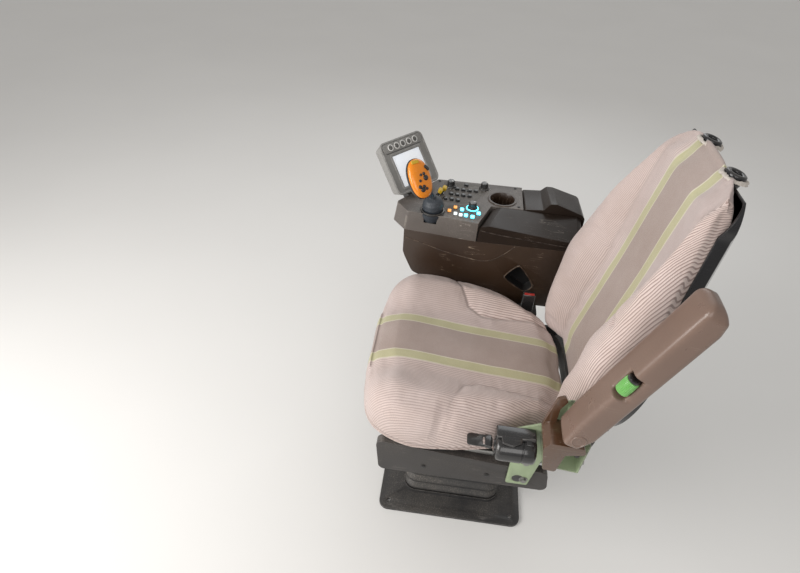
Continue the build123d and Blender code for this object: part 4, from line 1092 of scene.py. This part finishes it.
def softened(mesh, width, segments=3, angle=30, sharp_angle=40):
    """A bmesh with its edges rounded over, as another bmesh."""
    piece = new_piece("softened", mesh)
    bevel = piece.modifiers.new("round", "BEVEL")
    bevel.width = width
    bevel.segments = segments
    bevel.limit_method = "ANGLE"
    bevel.angle_limit = math.radians(angle)
    to_plain_mesh(piece, sharp_angle)
    result = bmesh.new()
    result.from_mesh(piece.data)
    bpy.data.objects.remove(piece)
    return result


def oblong(low_x, high_x, low_y, high_y):
    """The outline of a rectangle, going round anticlockwise."""
    return [(low_x, low_y), (high_x, low_y), (high_x, high_y), (low_x, high_y)]


def soft_prism(outline, low, high, width, segments=3):
    """A flat outline drawn from one height to another, its edges rounded over."""
    return softened(prism(outline, low, high), width, segments)


reel = at(0.3053, 0.113, 0.534, 90)
housing = turned([(0.012, -0.050), (0.024, -0.0495), (0.0295, -0.0465), (0.0318, -0.041), (0.0318, -0.020),
                  (0.0302, -0.0185), (0.0302, -0.0165), (0.0318, -0.015), (0.0318, 0.034), (0.0300, 0.041),
                  (0.0262, 0.0450), (0.0170, 0.0462), (0.0165, 0.0490), (0.0090, 0.0498)], 56)
lock_block = soft_prism(oblong(0.2706, 0.3060, 0.066, 0.160), 0.5145, 0.5735, 0.004)
plate_outline = [(0.276, 0.074), (0.322, 0.080), (0.328, 0.104), (0.316, 0.126), (0.276, 0.130)]
lever_plate = soft_prism(plate_outline, 0.5665, 0.5732, 0.0022)
belt_slot = soft_prism(oblong(0.282, 0.316, 0.136, 0.154), 0.5600, 0.5690, 0.0018, 2)
retractor = gathered((housing, reel), (lock_block, Matrix()), (lever_plate, Matrix()), (belt_slot, Matrix()))
belt_black = moulding("belt_black", (0.011, 0.011, 0.012), (0.016, 0.016, 0.017), rough=0.18, grain=0.06,
                      dust=0.07, scratches=0.4, scratch_tone=(0.25, 0.24, 0.23), coat=0.5, wear=0.15)
made("retractor_housing", retractor, belt_black, "seat", "belt_plastic", "belt_retractor")
tongue_corners = [(0.009, 0.023, 0), (-0.009, 0.023, 90), (-0.009, -0.023, 180), (0.009, -0.023, 270)]
tongue_outline = []
for corner_x, corner_y, first in tongue_corners:
    tongue_outline += [(corner_x + 0.0078 * math.cos(math.radians(first + 15 * step)),
                        corner_y + 0.0078 * math.sin(math.radians(first + 15 * step))) for step in range(7)]
tongue_hole = []
for step in range(24):
    c, s = math.cos(math.radians(15 * step)), math.sin(math.radians(15 * step))
    tongue_hole.append((0.011 * c * (1.1 if abs(c) > 0.7 else 1.0), 0.010 + 0.0030 * s))
tongue_outline = [tongue_outline[(4 + s) % 28] for s in range(28)]


def plate_with_hole(outline, hole, low, high):
    """A flat plate with one hole, as a closed bmesh; both outlines go the same way round."""
    mesh = bmesh.new()
    rows = {}
    for key, line, height in (("a", outline, low), ("b", outline, high), ("c", hole, high), ("d", hole, low)):
        rows[key] = [mesh.verts.new((x, y, height)) for x, y in line]
    for one, other in (("a", "b"), ("c", "d")):
        for step in range(len(rows[one])):
            after = (step + 1) % len(rows[one])
            mesh.faces.new((rows[one][step], rows[one][after], rows[other][after], rows[other][step]))
    for one, other in (("b", "c"), ("d", "a")):
        edges = []
        for row in (rows[one], rows[other]):
            for step in range(len(row)):
                edges.append(mesh.edges.get((row[step], row[(step + 1) % len(row)])))
        bmesh.ops.triangle_fill(mesh, use_beauty=True, use_dissolve=False, edges=edges)
    bmesh.ops.recalc_face_normals(mesh, faces=mesh.faces)
    return mesh


plated_steel = moulding("plated_steel", (0.52, 0.52, 0.51), (0.44, 0.43, 0.42), rough=0.22, grain=0.04,
                        dust=0.3, metallic=0.95, scratches=0.5, scratch_tone=(0.2, 0.19, 0.18), wear=0.3,
                        wear_tone=(0.7, 0.7, 0.68))
dark_steel = moulding("dark_steel", (0.10, 0.10, 0.10), (0.07, 0.07, 0.07), rough=0.3, grain=0.04, dust=0.2,
                      metallic=0.9, scratches=0.6, scratch_tone=(0.4, 0.39, 0.38), wear=0.6,
                      wear_tone=(0.45, 0.45, 0.44))
tongue_place = at(0.2933, 0.0315, 0.5322)
tongue = softened(plate_with_hole(tongue_outline, tongue_hole, 0, 0.0032), 0.0006, 2, 50)
made("tongue_blade", tongue, dark_steel, "seat", "belt_steel", "belt_tongue", place=tongue_place)
grip_outline = [(-0.0168, 0.012), (0.0168, 0.012), (0.0180, 0.028), (-0.0180, 0.028)]
tongue_grip = soft_prism(grip_outline, -0.0030, 0.0062, 0.0022)
made("tongue_grip", tongue_grip, belt_black, "seat", "belt_plastic", place=tongue_place)

# Belt buckle. Black moulded housing on a flat plated stalk with a sleeve, bolted beside the
# cushion, and a red push button at its mouth.
dressed("buckle_stalk", 0.0006, plated_steel, "seat", "belt_steel")
buckle_place = at(-0.234, 0.165, 0.5203)
buckle_body = soft_prism(oblong(-0.0118, 0.0118, -0.0185, 0.0185), 0.0006, 0.0640, 0.0042, 4)
stalk_sleeve = soft_prism(oblong(-0.0062, 0.0062, -0.0140, 0.0140), -0.052, 0.002, 0.0030)
mouth = soft_prism(oblong(-0.0040, 0.0015, -0.0150, 0.0150), 0.0630, 0.0655, 0.0008, 2)
buckle = gathered(*[(part, buckle_place) for part in (buckle_body, stalk_sleeve, mouth)])
made("buckle_housing", buckle, belt_black, "seat", "buckle_red", "belt_buckle")
buckle_red = moulding("buckle_red", on_screen(170, 34, 26), on_screen(150, 28, 22), rough=0.35, grain=0.1,
                      dust=0.2, wear=0.3, wear_tone=(0.6, 0.2, 0.15))
press = soft_prism(oblong(0.0028, 0.0098, -0.0150, 0.0150), 0.0600, 0.0672, 0.0016)
made("buckle_button", press, buckle_red, "seat", "buckle_red", place=buckle_place)

# Console bracket and body. A folded plate from the seat frame carries the console on the
# operator's right, a dark brown leather-grained moulding, open under its deck and lid.
dressed("console_bracket", 0.0008, black_steel, "seat", "frame_paint")
console_brown = moulding("console_brown", on_screen(54, 38, 25), on_screen(46, 32, 22), rough=0.36, grain=0.4,
                         grain_scale=1100, dust=0.16, dust_tone=(0.30, 0.24, 0.19), scratches=0.9,
                         scratch_tone=(0.40, 0.31, 0.23), coat=0.15, wear=0.35, wear_tone=(0.28, 0.20, 0.14))
dressed("console_body", 0.005, console_brown, "seat", "console_plastic", 4)
near_wall = -0.3066
crease = [(-0.232, 0.673), (-0.170, 0.660), (-0.114, 0.645), (-0.053, 0.637), (0.012, 0.629), (0.060, 0.645),
          (0.104, 0.697)]
wall_x = np.interp([y for y, z in crease], (-0.238, -0.120, -0.002, 0.3),
                   (-0.3328, -0.3198, near_wall, near_wall))
crease_line = [(x, y, z) for x, (y, z) in zip(wall_x, crease)]
made("console_crease", bead(crease_line, 0.0012), console_brown, "seat", "console_plastic")
near_screws = [(0.045, 0.515), (0.262, 0.515), (0.262, 0.676)]
far_screws = [(-0.080, 0.560), (0.240, 0.515), (0.240, 0.676), (-0.080, 0.676)]
body_screws = [at(near_wall - 0.0004, y, z, 0, 90) for y, z in near_screws]
body_screws += [at(-0.5502, y, z, 0, -90) for y, z in far_screws]
fixed("console_screws", pan_screw, black_screws, body_screws, "seat", "console_plastic", Head=0.0055,
      Height=0.0018)
bracket_spots = [at(-x, y, 0.4732, 180) for x in (0.360, 0.480) for y in (0.128, 0.188)]
fixed("bracket_screws", hex_bolt, bolt_steel, bracket_spots, "seat", "frame_paint", Head=0.0065,
      Height=0.005)

# Side pocket. Slanted slot in the console's near wall, lined by a thin black moulding that is
# clipped in, with a lighter rolled lip round it.
pocket_black = moulding("pocket_black", (0.008, 0.008, 0.009), (0.012, 0.012, 0.012), rough=0.3, grain=0.1,
                        dust=0.1, wear=0.2)
dressed("side_pocket", 0.0006, pocket_black, "seat", "pocket_plastic")
pocket_edge = [(0.083, 0.579), (0.160, 0.527), (0.188, 0.557), (0.129, 0.636)]
pocket_line = []
for step, (y, z) in enumerate(pocket_edge):
    after, before = pocket_edge[(step + 1) % 4], pocket_edge[step - 1]
    for other in (before, after):
        reach = 0.010 / math.hypot(other[0] - y, other[1] - z)
        pocket_line.append((near_wall, y + (other[0] - y) * reach, z + (other[1] - z) * reach))
made("pocket_lip", bead(pocket_line, 0.0020, True), console_brown, "seat", "pocket_plastic")

# Control deck. Greyish brown speckled moulding with sloping walls, screwed to the body; two
# low raised fields carry the controls, and a groove parts it from the lid.
deck_top = 0.764
deck_brown = moulding("deck_brown", on_screen(98, 91, 86), on_screen(84, 78, 74), rough=0.42, grain=0.6,
                      grain_scale=1500, dust=0.55, dust_tone=(0.5, 0.46, 0.41), scratches=0.9,
                      scratch_tone=(0.62, 0.56, 0.50), wear=0.5, wear_tone=(0.45, 0.40, 0.35))
dressed("control_deck", 0.004, deck_brown, "seat", "deck_plastic", 4)
field_grey = moulding("field_grey", on_screen(92, 86, 80), on_screen(82, 77, 72), rough=0.5, grain=0.5,
                      grain_scale=1700, dust=0.6, dust_tone=(0.5, 0.47, 0.43), scratches=0.5,
                      scratch_tone=(0.6, 0.56, 0.5), wear=0.3)


def rounded_outline(points, radius, steps=5):
    """The outline of flat points with each corner rounded."""
    line = []
    for step, corner in enumerate(points):
        corner = Vector(corner)
        before, after = Vector(points[step - 1]), Vector(points[(step + 1) % len(points)])
        first = corner + (before - corner).normalized() * radius
        last = corner + (after - corner).normalized() * radius
        for share in range(steps + 1):
            t = share / steps
            line.append(tuple((1 - t) ** 2 * first + 2 * t * (1 - t) * corner + t * t * last))
    return line


far_field = [(-0.545, -0.132), (-0.492, -0.132), (-0.418, -0.140), (-0.416, -0.060), (-0.446, -0.020),
             (-0.545, 0.012)]
near_field = [(-0.398, -0.112), (-0.368, -0.116), (-0.332, -0.104), (-0.324, -0.020), (-0.352, -0.002),
              (-0.410, -0.014), (-0.410, -0.060)]
field_parts = [(soft_prism(rounded_outline(points, radius), deck_top - 0.001, deck_top + 0.0007, 0.0006, 2),
                Matrix()) for points, radius in ((far_field, 0.012), (near_field, 0.010))]
made("control_fields", gathered(*field_parts), field_grey, "seat", "deck_plastic")
deck_corners = [(-0.548, 0.100), (-0.430, 0.108), (-0.548, -0.148), (-0.335, -0.125)]
deck_screws = [at(x, y, deck_top + 0.0002) for x, y in deck_corners]
fixed("deck_screws", pan_screw, black_screws, deck_screws, "seat", "deck_plastic", Head=0.0042, Height=0.0010)

# Cup holder. A brown moulded cup let into the deck from above, with a rolled rim that rests on
# it and grip ribs inside.
cup_x, cup_y = -0.467, 0.057
cup_profile = [(0.0402, deck_top - 0.0695), (0.0402, deck_top + 0.0002), (0.0452, deck_top + 0.0004),
               (0.0460, deck_top + 0.0012), (0.0455, deck_top + 0.0026), (0.0430, deck_top + 0.0033),
               (0.0392, deck_top + 0.0029), (0.0374, deck_top + 0.0008), (0.0368, deck_top - 0.020),
               (0.0360, deck_top - 0.060), (0.0330, deck_top - 0.0655), (0.0100, deck_top - 0.0662)]
cup = turned(cup_profile, 64)
cup_ribs = []
for step in range(18):
    rib = soft_prism(oblong(-0.0012, 0.0012, -0.0008, 0.0016), deck_top - 0.064, deck_top - 0.012, 0.0005, 2)
    cup_ribs.append((rib, at(cup_x, cup_y, 0, 0, 0, 360 * step / 18) @ Matrix.Translation((0, -0.0372, 0))))
cup_whole = gathered((cup, at(cup_x, cup_y, 0)), *cup_ribs)
made("cup_holder_made", cup_whole, console_brown, "seat", "deck_plastic", "cup_holder")

# Push buttons. Black domed plastic caps that switch the header's functions, each in a thin
# collar that is pushed into the deck.


def on_deck(x, y, turn=0.0):
    """A place on the deck's fields, turned in degrees about its upright."""
    return at(x, y, deck_top + 0.0004, 0, 0, turn)


button_black = moulding("button_black", (0.014, 0.014, 0.015), (0.020, 0.020, 0.021), rough=0.25, grain=0.05,
                        dust=0.35, wear=0.0, coat=0.2)
button_spots = [(-0.433, -0.123), (-0.432, -0.103), (-0.429, -0.083), (-0.467, -0.106), (-0.464, -0.087),
                (-0.464, -0.067), (-0.463, -0.047), (-0.502, -0.088), (-0.499, -0.068), (-0.498, -0.048),
                (-0.499, -0.028), (-0.533, -0.060)]


def push_button(tree, size):
    """A collar, a straight wall and a domed crown in steps."""
    wide = size["Width"]

    def share(part):
        return math_of(tree, "MULTIPLY", wide, part)

    return stacked(tree, (24, share(1.25), share(1.18), 0.0012), (24, wide, wide, size["Rise"]),
                   (24, wide, share(0.93), 0.0007), (24, share(0.93), share(0.78), 0.0006),
                   (24, share(0.78), share(0.45), 0.0005), (24, share(0.45), share(0.08), 0.0002))


fixed("button_caps", push_button, button_black, [on_deck(*spot) for spot in button_spots], "seat",
      "button_black", "push_buttons", Width=0.0073, Rise=0.0040)

# Rotary knobs. Black ribbed plastic knobs on skirts, pushed on their shafts, with an inlaid
# white pointer, and dots printed round them on the deck.
knob_spots = [(-0.518, -0.110), (-0.524, -0.002)]
lit_knob_spot = (-0.392, -0.036)


def knob():
    """A knob with a skirt, 18 grip ribs and a chamfered top."""
    profile = [(0, 0.0128, 0), (0.0012, 0.0132, 0), (0.0030, 0.0122, 0), (0.0040, 0.0098, 0),
               (0.0046, 0.0096, 0.0006), (0.0140, 0.0090, 0.0006), (0.0150, 0.0086, 0.0004),
               (0.0162, 0.0076, 0), (0.0164, 0.0040, 0)]
    rings = []
    for height, radius, deep in profile:
        rings.append([((radius - deep * (step % 4 > 1)) * math.cos(2 * math.pi * step / 72),
                       (radius - deep * (step % 4 > 1)) * math.sin(2 * math.pi * step / 72), height)
                      for step in range(72)])
    return skin(rings)


knob_size = Matrix.Diagonal((1.28, 1.28, 1.35, 1.0))
knobs = gathered(*[(knob(), on_deck(x, y) @ knob_size) for x, y in knob_spots])
made("knobs_made", knobs, button_black, "seat", "button_black", "rotary_knobs", sharp=35)
mark_white = moulding("mark_white", (0.75, 0.74, 0.72), (0.68, 0.67, 0.65), rough=0.5, dust=0.3, wear=0.0)
pointers = gathered(*[(prism(oblong(-0.0008, 0.0008, 0.0020, 0.0074), 0.0163, 0.0168),
                       on_deck(x, y, turn) @ knob_size)
                      for (x, y), turn in zip(knob_spots + [lit_knob_spot], (-40, 15, 30))])
made("knob_pointers", pointers, mark_white, "seat", "button_black")
dial_dots = [at(x + 0.0205 * math.sin(math.radians(a)), y + 0.0205 * math.cos(math.radians(a)),
                deck_top + 0.0002) for x, y in knob_spots for a in range(-120, 121, 30)]


def printed_dot(tree, size):
    """A small flat dot."""
    return stacked(tree, (10, size["Width"], size["Width"], 0.0008))


fixed("dial_dots", printed_dot, mark_white, dial_dots, "seat", "deck_plastic", Width=0.0008)

# Lit knob and lit keys. Translucent moulded caps over small lamps, cyan, orange and white; the
# knob stands in a lit ring, and the keys sit in black frames in the deck.


def glowing(name, tone, light, strength):
    """Translucent cap lit from below, brighter in its middle than at its worn grey edge."""
    finish, tree, shader = new_finish(name, Roughness=0.3, Coat_Weight=0.2, Emission_Strength=strength)
    spot = put(tree, "ShaderNodeTexCoord").outputs["Object"]
    grime = ramp(tree, noise_of(tree, spot, 300.0, 4.0), [(0.35, (0.0,)), (0.7, (1.0,))])
    colour = blended(tree, grime, tone, tuple(0.8 * c for c in tone))
    edge = put(tree, "ShaderNodeAttribute", attribute_name="edge").outputs["Fac"]
    glow = blended(tree, edge, light, tuple(0.45 * c for c in light))
    tree.links.new(colour, shader.inputs["Base Color"])
    tree.links.new(glow, shader.inputs["Emission Color"])
    return finish


lit_cyan = glowing("lit_cyan", (0.25, 0.62, 0.66), (0.06, 0.66, 0.86), 7.0)
lit_orange = glowing("lit_orange", (0.70, 0.30, 0.06), (1.0, 0.36, 0.04), 0.9)
lit_white = glowing("lit_white", (0.70, 0.70, 0.68), (0.75, 0.90, 0.95), 1.0)
lit_knob_piece = gathered((knob(), on_deck(*lit_knob_spot) @ knob_size))
made("lit_knob_made", lit_knob_piece, button_black, "seat", "knob_lit", "lit_knob", sharp=35)
glow_ring = turned([(0.0168, 0), (0.0192, 0), (0.0192, 0.0014), (0.0184, 0.0022), (0.0168, 0.0022)], 40)
made("lit_ring", glow_ring, lit_cyan, "seat", "knob_lit", place=on_deck(*lit_knob_spot))
key_spots = [(-0.348, -0.086, lit_white), (-0.343, -0.070, lit_white), (-0.343, -0.054, lit_cyan),
             (-0.339, -0.034, lit_cyan), (-0.375, -0.067, lit_cyan), (-0.362, -0.016, lit_cyan),
             (-0.385, -0.088, lit_orange), (-0.362, -0.105, lit_orange)]
key_outline = rounded_outline(oblong(-0.0076, 0.0076, -0.0056, 0.0056), 0.0026)
key_frame = rounded_outline(oblong(-0.0090, 0.0090, -0.0070, 0.0070), 0.0034)
for finish, share in ((lit_cyan, "cyan"), (lit_orange, "orange"), (lit_white, "white")):
    caps = gathered(*[(soft_prism(key_outline, 0, 0.0040, 0.0011), on_deck(x, y))
                      for x, y, light in key_spots if light is finish])
    nodes = ["lit_keys"] if finish is lit_cyan else []
    made("keys_" + share, caps, finish, "seat", "key_lit", *nodes)
frames = gathered(*[(soft_prism(key_frame, 0, 0.0014, 0.0005, 2), on_deck(x, y))
                    for x, y, _ in key_spots])
made("key_frames", frames, button_black, "seat", "button_black")

# Selector levers. Small black toggles with yellow moulded tips, each standing in a slotted
# gate that is pushed into the deck.
selector_yellow = moulding("selector_yellow", on_screen(206, 170, 40), on_screen(190, 154, 34), rough=0.35,
                           grain=0.1, dust=0.25, wear=0.3, wear_tone=(0.4, 0.33, 0.12))
selector_spots = [(-0.448, -0.150), (-0.466, -0.138)]
tip_outline = rounded_outline(oblong(-0.0055, 0.0055, -0.0038, 0.0038), 0.0022)
gate_outline = rounded_outline(oblong(-0.0070, 0.0070, -0.0095, 0.0095), 0.0040)
stems, tips, gates = [], [], []
for x, y in selector_spots:
    selector_place = at(x, y, deck_top + 0.0006, -24, 12) @ Matrix.Diagonal((1.5, 1.6, 1.4, 1.0))
    stems.append((turned([(0.0030, 0), (0.0028, 0.012), (0.0040, 0.0135), (0.0046, 0.0140)], 20),
                  selector_place))
    tips.append((soft_prism(tip_outline, 0.0125, 0.0220, 0.0014), selector_place))
    gates.append((soft_prism(gate_outline, 0, 0.0022, 0.0008, 2), on_deck(x, y)))
made("selector_stems", gathered(*stems, *gates), button_black, "seat", "button_black")
made("selector_tips", gathered(*tips), selector_yellow, "seat", "selector_yellow", "selector_levers")

# Rear cap and lid. Soft glossy brown skins over stiff mouldings; the lid is the armrest over
# the storage bin, and turns on a pin at its rear.
lid_brown = moulding("lid_brown", on_screen(40, 31, 25), on_screen(34, 26, 21), rough=0.32, grain=0.22,
                     grain_scale=900, dust=0.12, dust_tone=(0.16, 0.14, 0.12), scratches=0.5,
                     scratch_tone=(0.35, 0.3, 0.25), coat=0.0, wear=0.25, wear_tone=(0.25, 0.2, 0.17))
lid_brown.node_tree.nodes["Principled BSDF"].inputs["Specular IOR Level"].default_value = 0.25
dressed("console_rear_cap", 0.006, lid_brown, "seat", "lid_skin", 4)
dressed("console_lid", 0.0075, lid_brown, "lid", "lid_skin", 5)
lid_x = -0.3068
step_line = [(lid_x, -0.006, 0.7415), (lid_x, 0.037, 0.7330), (lid_x, 0.120, 0.7270), (lid_x, 0.200, 0.7190),
             (lid_x, 0.292, 0.7130)]
made("lid_step", bead(step_line, 0.0016), lid_brown, "lid", "lid_skin")

# Drive lever. Painted steel stalk standing in a ribbed rubber ball, which a round socket and a
# collar of the deck hold and let turn.
lever_spot = (-0.358, -0.156, 0.780)
ball_rubber = moulding("ball_rubber", on_screen(44, 52, 60), on_screen(36, 42, 50), rough=0.45, grain=0.3,
                       dust=0.35, dust_tone=(0.35, 0.38, 0.42), wear=0.2, wear_tone=(0.3, 0.33, 0.36))
dressed("lever_collar", 0.0015, button_black, "seat", "deck_plastic", 3)
socket_profile = [(0.0394 * math.cos(math.radians(a)), 0.7620 - 0.0420 * math.sin(math.radians(a)))
                  for a in range(0, 90, 6)]
socket_profile += [(0.0350 * math.cos(math.radians(a)), 0.7615 - 0.0385 * math.sin(math.radians(a)))
                   for a in range(84, -1, -6)]
socket_place = at(lever_spot[0], lever_spot[1], 0)
made("lever_socket", turned(socket_profile, 56), ball_rubber, "seat", "ball_rubber", sharp=60,
     place=socket_place)
ball_r = 0.0328
ball_profile = [(0.0004, -ball_r)]
for row in range(1, 60):
    angle = math.pi * (row / 60)
    rib = 0.0003 * math.cos(16 * angle) * (angle > 1.2) - 0.0003 * (angle > 1.2)
    ball_profile.append(((ball_r + rib) * math.sin(angle), -(ball_r + rib) * math.cos(angle)))
boot_top = [(0.0110, 0.0318), (0.0104, 0.0345), (0.0110, 0.0360), (0.0098, 0.0375), (0.0084, 0.0378)]
ball_profile = [point for point in ball_profile if not (point[1] > 0 and point[0] < 0.0125)] + boot_top
ball_place = at(*lever_spot, 6, 8)
made("lever_boot", turned(ball_profile, 56), ball_rubber, "lever", "ball_rubber", "lever_ball", sharp=60,
     place=ball_place)
stalk_blue = moulding("stalk_blue", on_screen(58, 74, 88), on_screen(48, 62, 74), rough=0.3, grain=0.1,
                      dust=0.3, metallic=0.5, scratches=0.6, wear=0.6, wear_tone=(0.5, 0.52, 0.55))
dressed("lever_stalk", 0.0008, stalk_blue, "lever", "stalk_paint")

# Lever grip. Two oval half shells screwed together round the stalk, orange towards the
# operator with clusters of black buttons, black behind.
grip_place = Matrix.Translation((-0.343, -0.203, 0.873)) @ Matrix.Rotation(math.radians(180 - 48), 4, "Z") \
    @ Matrix.Rotation(math.radians(90 - 36), 4, "X")
grip_half_x, grip_half_y = 0.0372, 0.0602


def grip_shell(levels):
    """Oval rings as (share of the grip's outline, height), closed with a small flat."""
    rings = []
    for share, height in levels:
        ring = []
        for step in range(72):
            angle = 2 * math.pi * step / 72
            c, s = math.cos(angle), math.sin(angle)
            bulge = (abs(c) ** 2.3 + abs(s) ** 2.3) ** (-1 / 2.3)
            ring.append((grip_half_x * share * c * bulge, grip_half_y * share * s * bulge, height))
        rings.append(ring)
    return skin(rings)


face_levels = [(0.90, 0.0012), (0.955, 0.0016), (0.965, 0.0045)]
face_levels += [(0.965 * math.cos(math.radians(a)) ** 0.62, 0.0045 + 0.0150 * math.sin(math.radians(a)))
                for a in range(8, 87, 6)]
back_levels = [(0.12, -0.0196)]
back_levels += [(math.cos(math.radians(a)) ** 0.6, -0.0030 - 0.0166 * math.sin(math.radians(a)))
                for a in range(84, -1, -7)]
back_levels += [(1.0, 0.0), (0.995, 0.0012), (0.975, 0.0015)]
grip_orange = moulding("grip_orange", on_screen(238, 140, 8), on_screen(226, 128, 6), rough=0.26,
                       grain=0.06, dust=0.04, dust_tone=(0.6, 0.5, 0.35), scratches=0.3,
                       scratch_tone=(0.9, 0.6, 0.3), coat=0.4, wear=0.1, wear_tone=(0.9, 0.6, 0.25))
made("grip_front", grip_shell(face_levels), grip_orange, "lever", "grip_orange", "grip_face", sharp=50,
     place=grip_place)
made("grip_rear", grip_shell(back_levels), button_black, "lever", "grip_black", "grip_back", sharp=50,
     place=grip_place)


def on_grip(x, y):
    """The place on the grip's face over a point of its outline, turned square to the face."""
    share = min(0.93, math.hypot(x / (grip_half_x * 0.965), y / (grip_half_y * 0.965)))
    height = 0.0045 + 0.0150 * math.sin(math.acos(share ** (1 / 0.62)))
    lean = 0.42 * share ** 2
    return grip_place @ Matrix.Translation((x, y, height - 0.0010)) @ Matrix.Rotation(
        lean * x / grip_half_x * 1.4, 4, "Y") @ Matrix.Rotation(-lean * y / grip_half_y * 1.1, 4, "X")


grip_buttons = [(-0.0037, 0.0085, 0.0036), (-0.0107, -0.0077, 0.0036), (0.0103, -0.0026, 0.0074),
                (0.0070, 0.0100, 0.0042), (-0.0161, -0.0243, 0.0050), (-0.0083, -0.0340, 0.0066),
                (-0.0030, -0.0260, 0.0046), (0.0045, -0.0335, 0.0040)]
caps = []
for x, y, wide in grip_buttons:
    cap_profile = [(wide * 1.15, 0), (wide * 1.15, 0.0010), (wide, 0.0016), (wide, 0.0034),
                   (wide * 0.86, 0.0042), (wide * 0.4, 0.0046)]
    caps.append((softened(turned(cap_profile, 28), 0.0002, 1, 50), on_grip(x, y)))
rocker = soft_prism(rounded_outline(oblong(-0.0052, 0.0052, -0.0095, 0.0095), 0.0040), 0, 0.0048, 0.0014)
caps.append((rocker, on_grip(0.0235, 0.0240) @ Matrix.Rotation(math.radians(40), 4, "Z")))
made("grip_buttons", gathered(*caps), button_black, "lever", "grip_black")
tab_outline = [(-0.0125, -0.0055), (0.0125, -0.0055), (0.0110, 0.0055), (-0.0110, 0.0055)]
thumb_tab = soft_prism(rounded_outline(tab_outline, 0.0040), 0, 0.0040, 0.0014)
made("grip_tab", thumb_tab, selector_yellow, "lever", "grip_orange", place=on_grip(-0.0075, 0.0480))

# Monitor. Grey case with a raised frame round the screen, tilting on a clevis screwed to the
# deck; five white-ringed keys stand in a band above the screen, which shows nothing.
monitor_place = Matrix.Translation((-0.480, -0.2445, 0.854))
monitor_place = monitor_place @ Matrix.Rotation(math.radians(180 - 38), 4, "Z")
monitor_place = monitor_place @ Matrix.Rotation(math.radians(90 - 38), 4, "X")
dressed("monitor_bracket", 0.0012, button_black, "seat", "frame_paint", 3)
case_grey = moulding("case_grey", on_screen(140, 139, 136), on_screen(128, 126, 123), rough=0.38,
                     grain=0.35, grain_scale=1400, dust=0.25, scratches=0.4, scratch_tone=(0.6, 0.58, 0.56),
                     coat=0.1, wear=0.4, wear_tone=(0.62, 0.60, 0.58))
dressed("monitor_case", 0.0045, case_grey, "monitor", "monitor_plastic", 4)


def frame_ring(outer, inner, corner, levels):
    """A raised ring round a rounded rectangle: half sizes outside and inside, and a profile of
    (share across the ring, height)."""
    rings = []
    for share, height in levels:
        half_x = outer[0] + (inner[0] - outer[0]) * share
        half_y = outer[1] + (inner[1] - outer[1]) * share
        points = oblong(-half_x, half_x, -half_y, half_y)
        rings.append([(x, y, height) for x, y in rounded_outline(points, corner * (1 - 0.5 * share), 7)])
    return skin(rings, closed=True)


bezel_profile = [(0, -0.002), (0.02, 0.0010), (0.12, 0.0022), (0.35, 0.0030), (0.65, 0.0030), (0.88, 0.0020),
                 (1, 0.0002), (1, -0.002)]
screen_mid_y = -0.014
low_profile = [(share, 0.6 * height) for share, height in bezel_profile]
outer_bezel = frame_ring((0.0905, 0.0830), (0.0845, 0.0775), 0.022, low_profile)
key_band = soft_prism(rounded_outline(oblong(-0.0825, 0.0825, 0.0490, 0.0765), 0.012), -0.001, 0.0020, 0.0009)
screen_bezel = frame_ring((0.0665, 0.0585), (0.0583, 0.0503), 0.010, low_profile)
bezels = gathered((outer_bezel, monitor_place), (screen_bezel, monitor_place @ at(0, screen_mid_y, 0)),
                  (key_band, monitor_place))
made("monitor_frames", bezels, case_grey, "monitor", "monitor_plastic", sharp=50)
slit_line = [(-0.0740, 0.0470, 0.0002), (0, 0.0472, 0.0002), (0.0740, 0.0470, 0.0002)]
made("monitor_slit", bead(slit_line, 0.0008), button_black, "monitor", "monitor_plastic",
     place=monitor_place)
screen_white, screen_tree, screen_shader = new_finish("screen_white", Roughness=0.12, Coat_Weight=0.3,
                                                      Emission_Strength=0.35)
screen_spot = put(screen_tree, "ShaderNodeTexCoord").outputs["Object"]
screen_tone = ramp(screen_tree, noise_of(screen_tree, screen_spot, 14.0, 4.0),
                   [(0.3, (0.78, 0.82, 0.88)), (0.7, (0.86, 0.88, 0.90))])
screen_tree.links.new(screen_tone, screen_shader.inputs["Base Color"])
screen_tree.links.new(screen_tone, screen_shader.inputs["Emission Color"])
dressed("monitor_screen", 0.0004, screen_white, "monitor", "screen_white")
key_places = [monitor_place @ at((key - 2) * 0.0262, 0.0626, 0.0018) for key in range(5)]
ring_profile = [(0.0074, 0.0), (0.0106, 0.0), (0.0108, 0.0014), (0.0102, 0.0026), (0.0078, 0.0026)]
ring_circle = [(math.cos(2 * math.pi * s / 36), math.sin(2 * math.pi * s / 36)) for s in range(36)]
key_rings = []
for key_place in key_places:
    key_ring = skin([[(r * x, r * y, h) for x, y in ring_circle] for r, h in ring_profile], closed=True)
    key_rings.append((key_ring, key_place))
made("monitor_key_rings", gathered(*key_rings), mark_white, "monitor", "monitor_key")
key_grey = moulding("key_grey", on_screen(96, 95, 92), on_screen(84, 83, 80), rough=0.4, grain=0.2, dust=0.2,
                    wear=0.0)
fixed("monitor_keys_made", push_button, key_grey, key_places, "monitor", "monitor_key", "monitor_keys",
      Width=0.0060, Rise=0.0008)
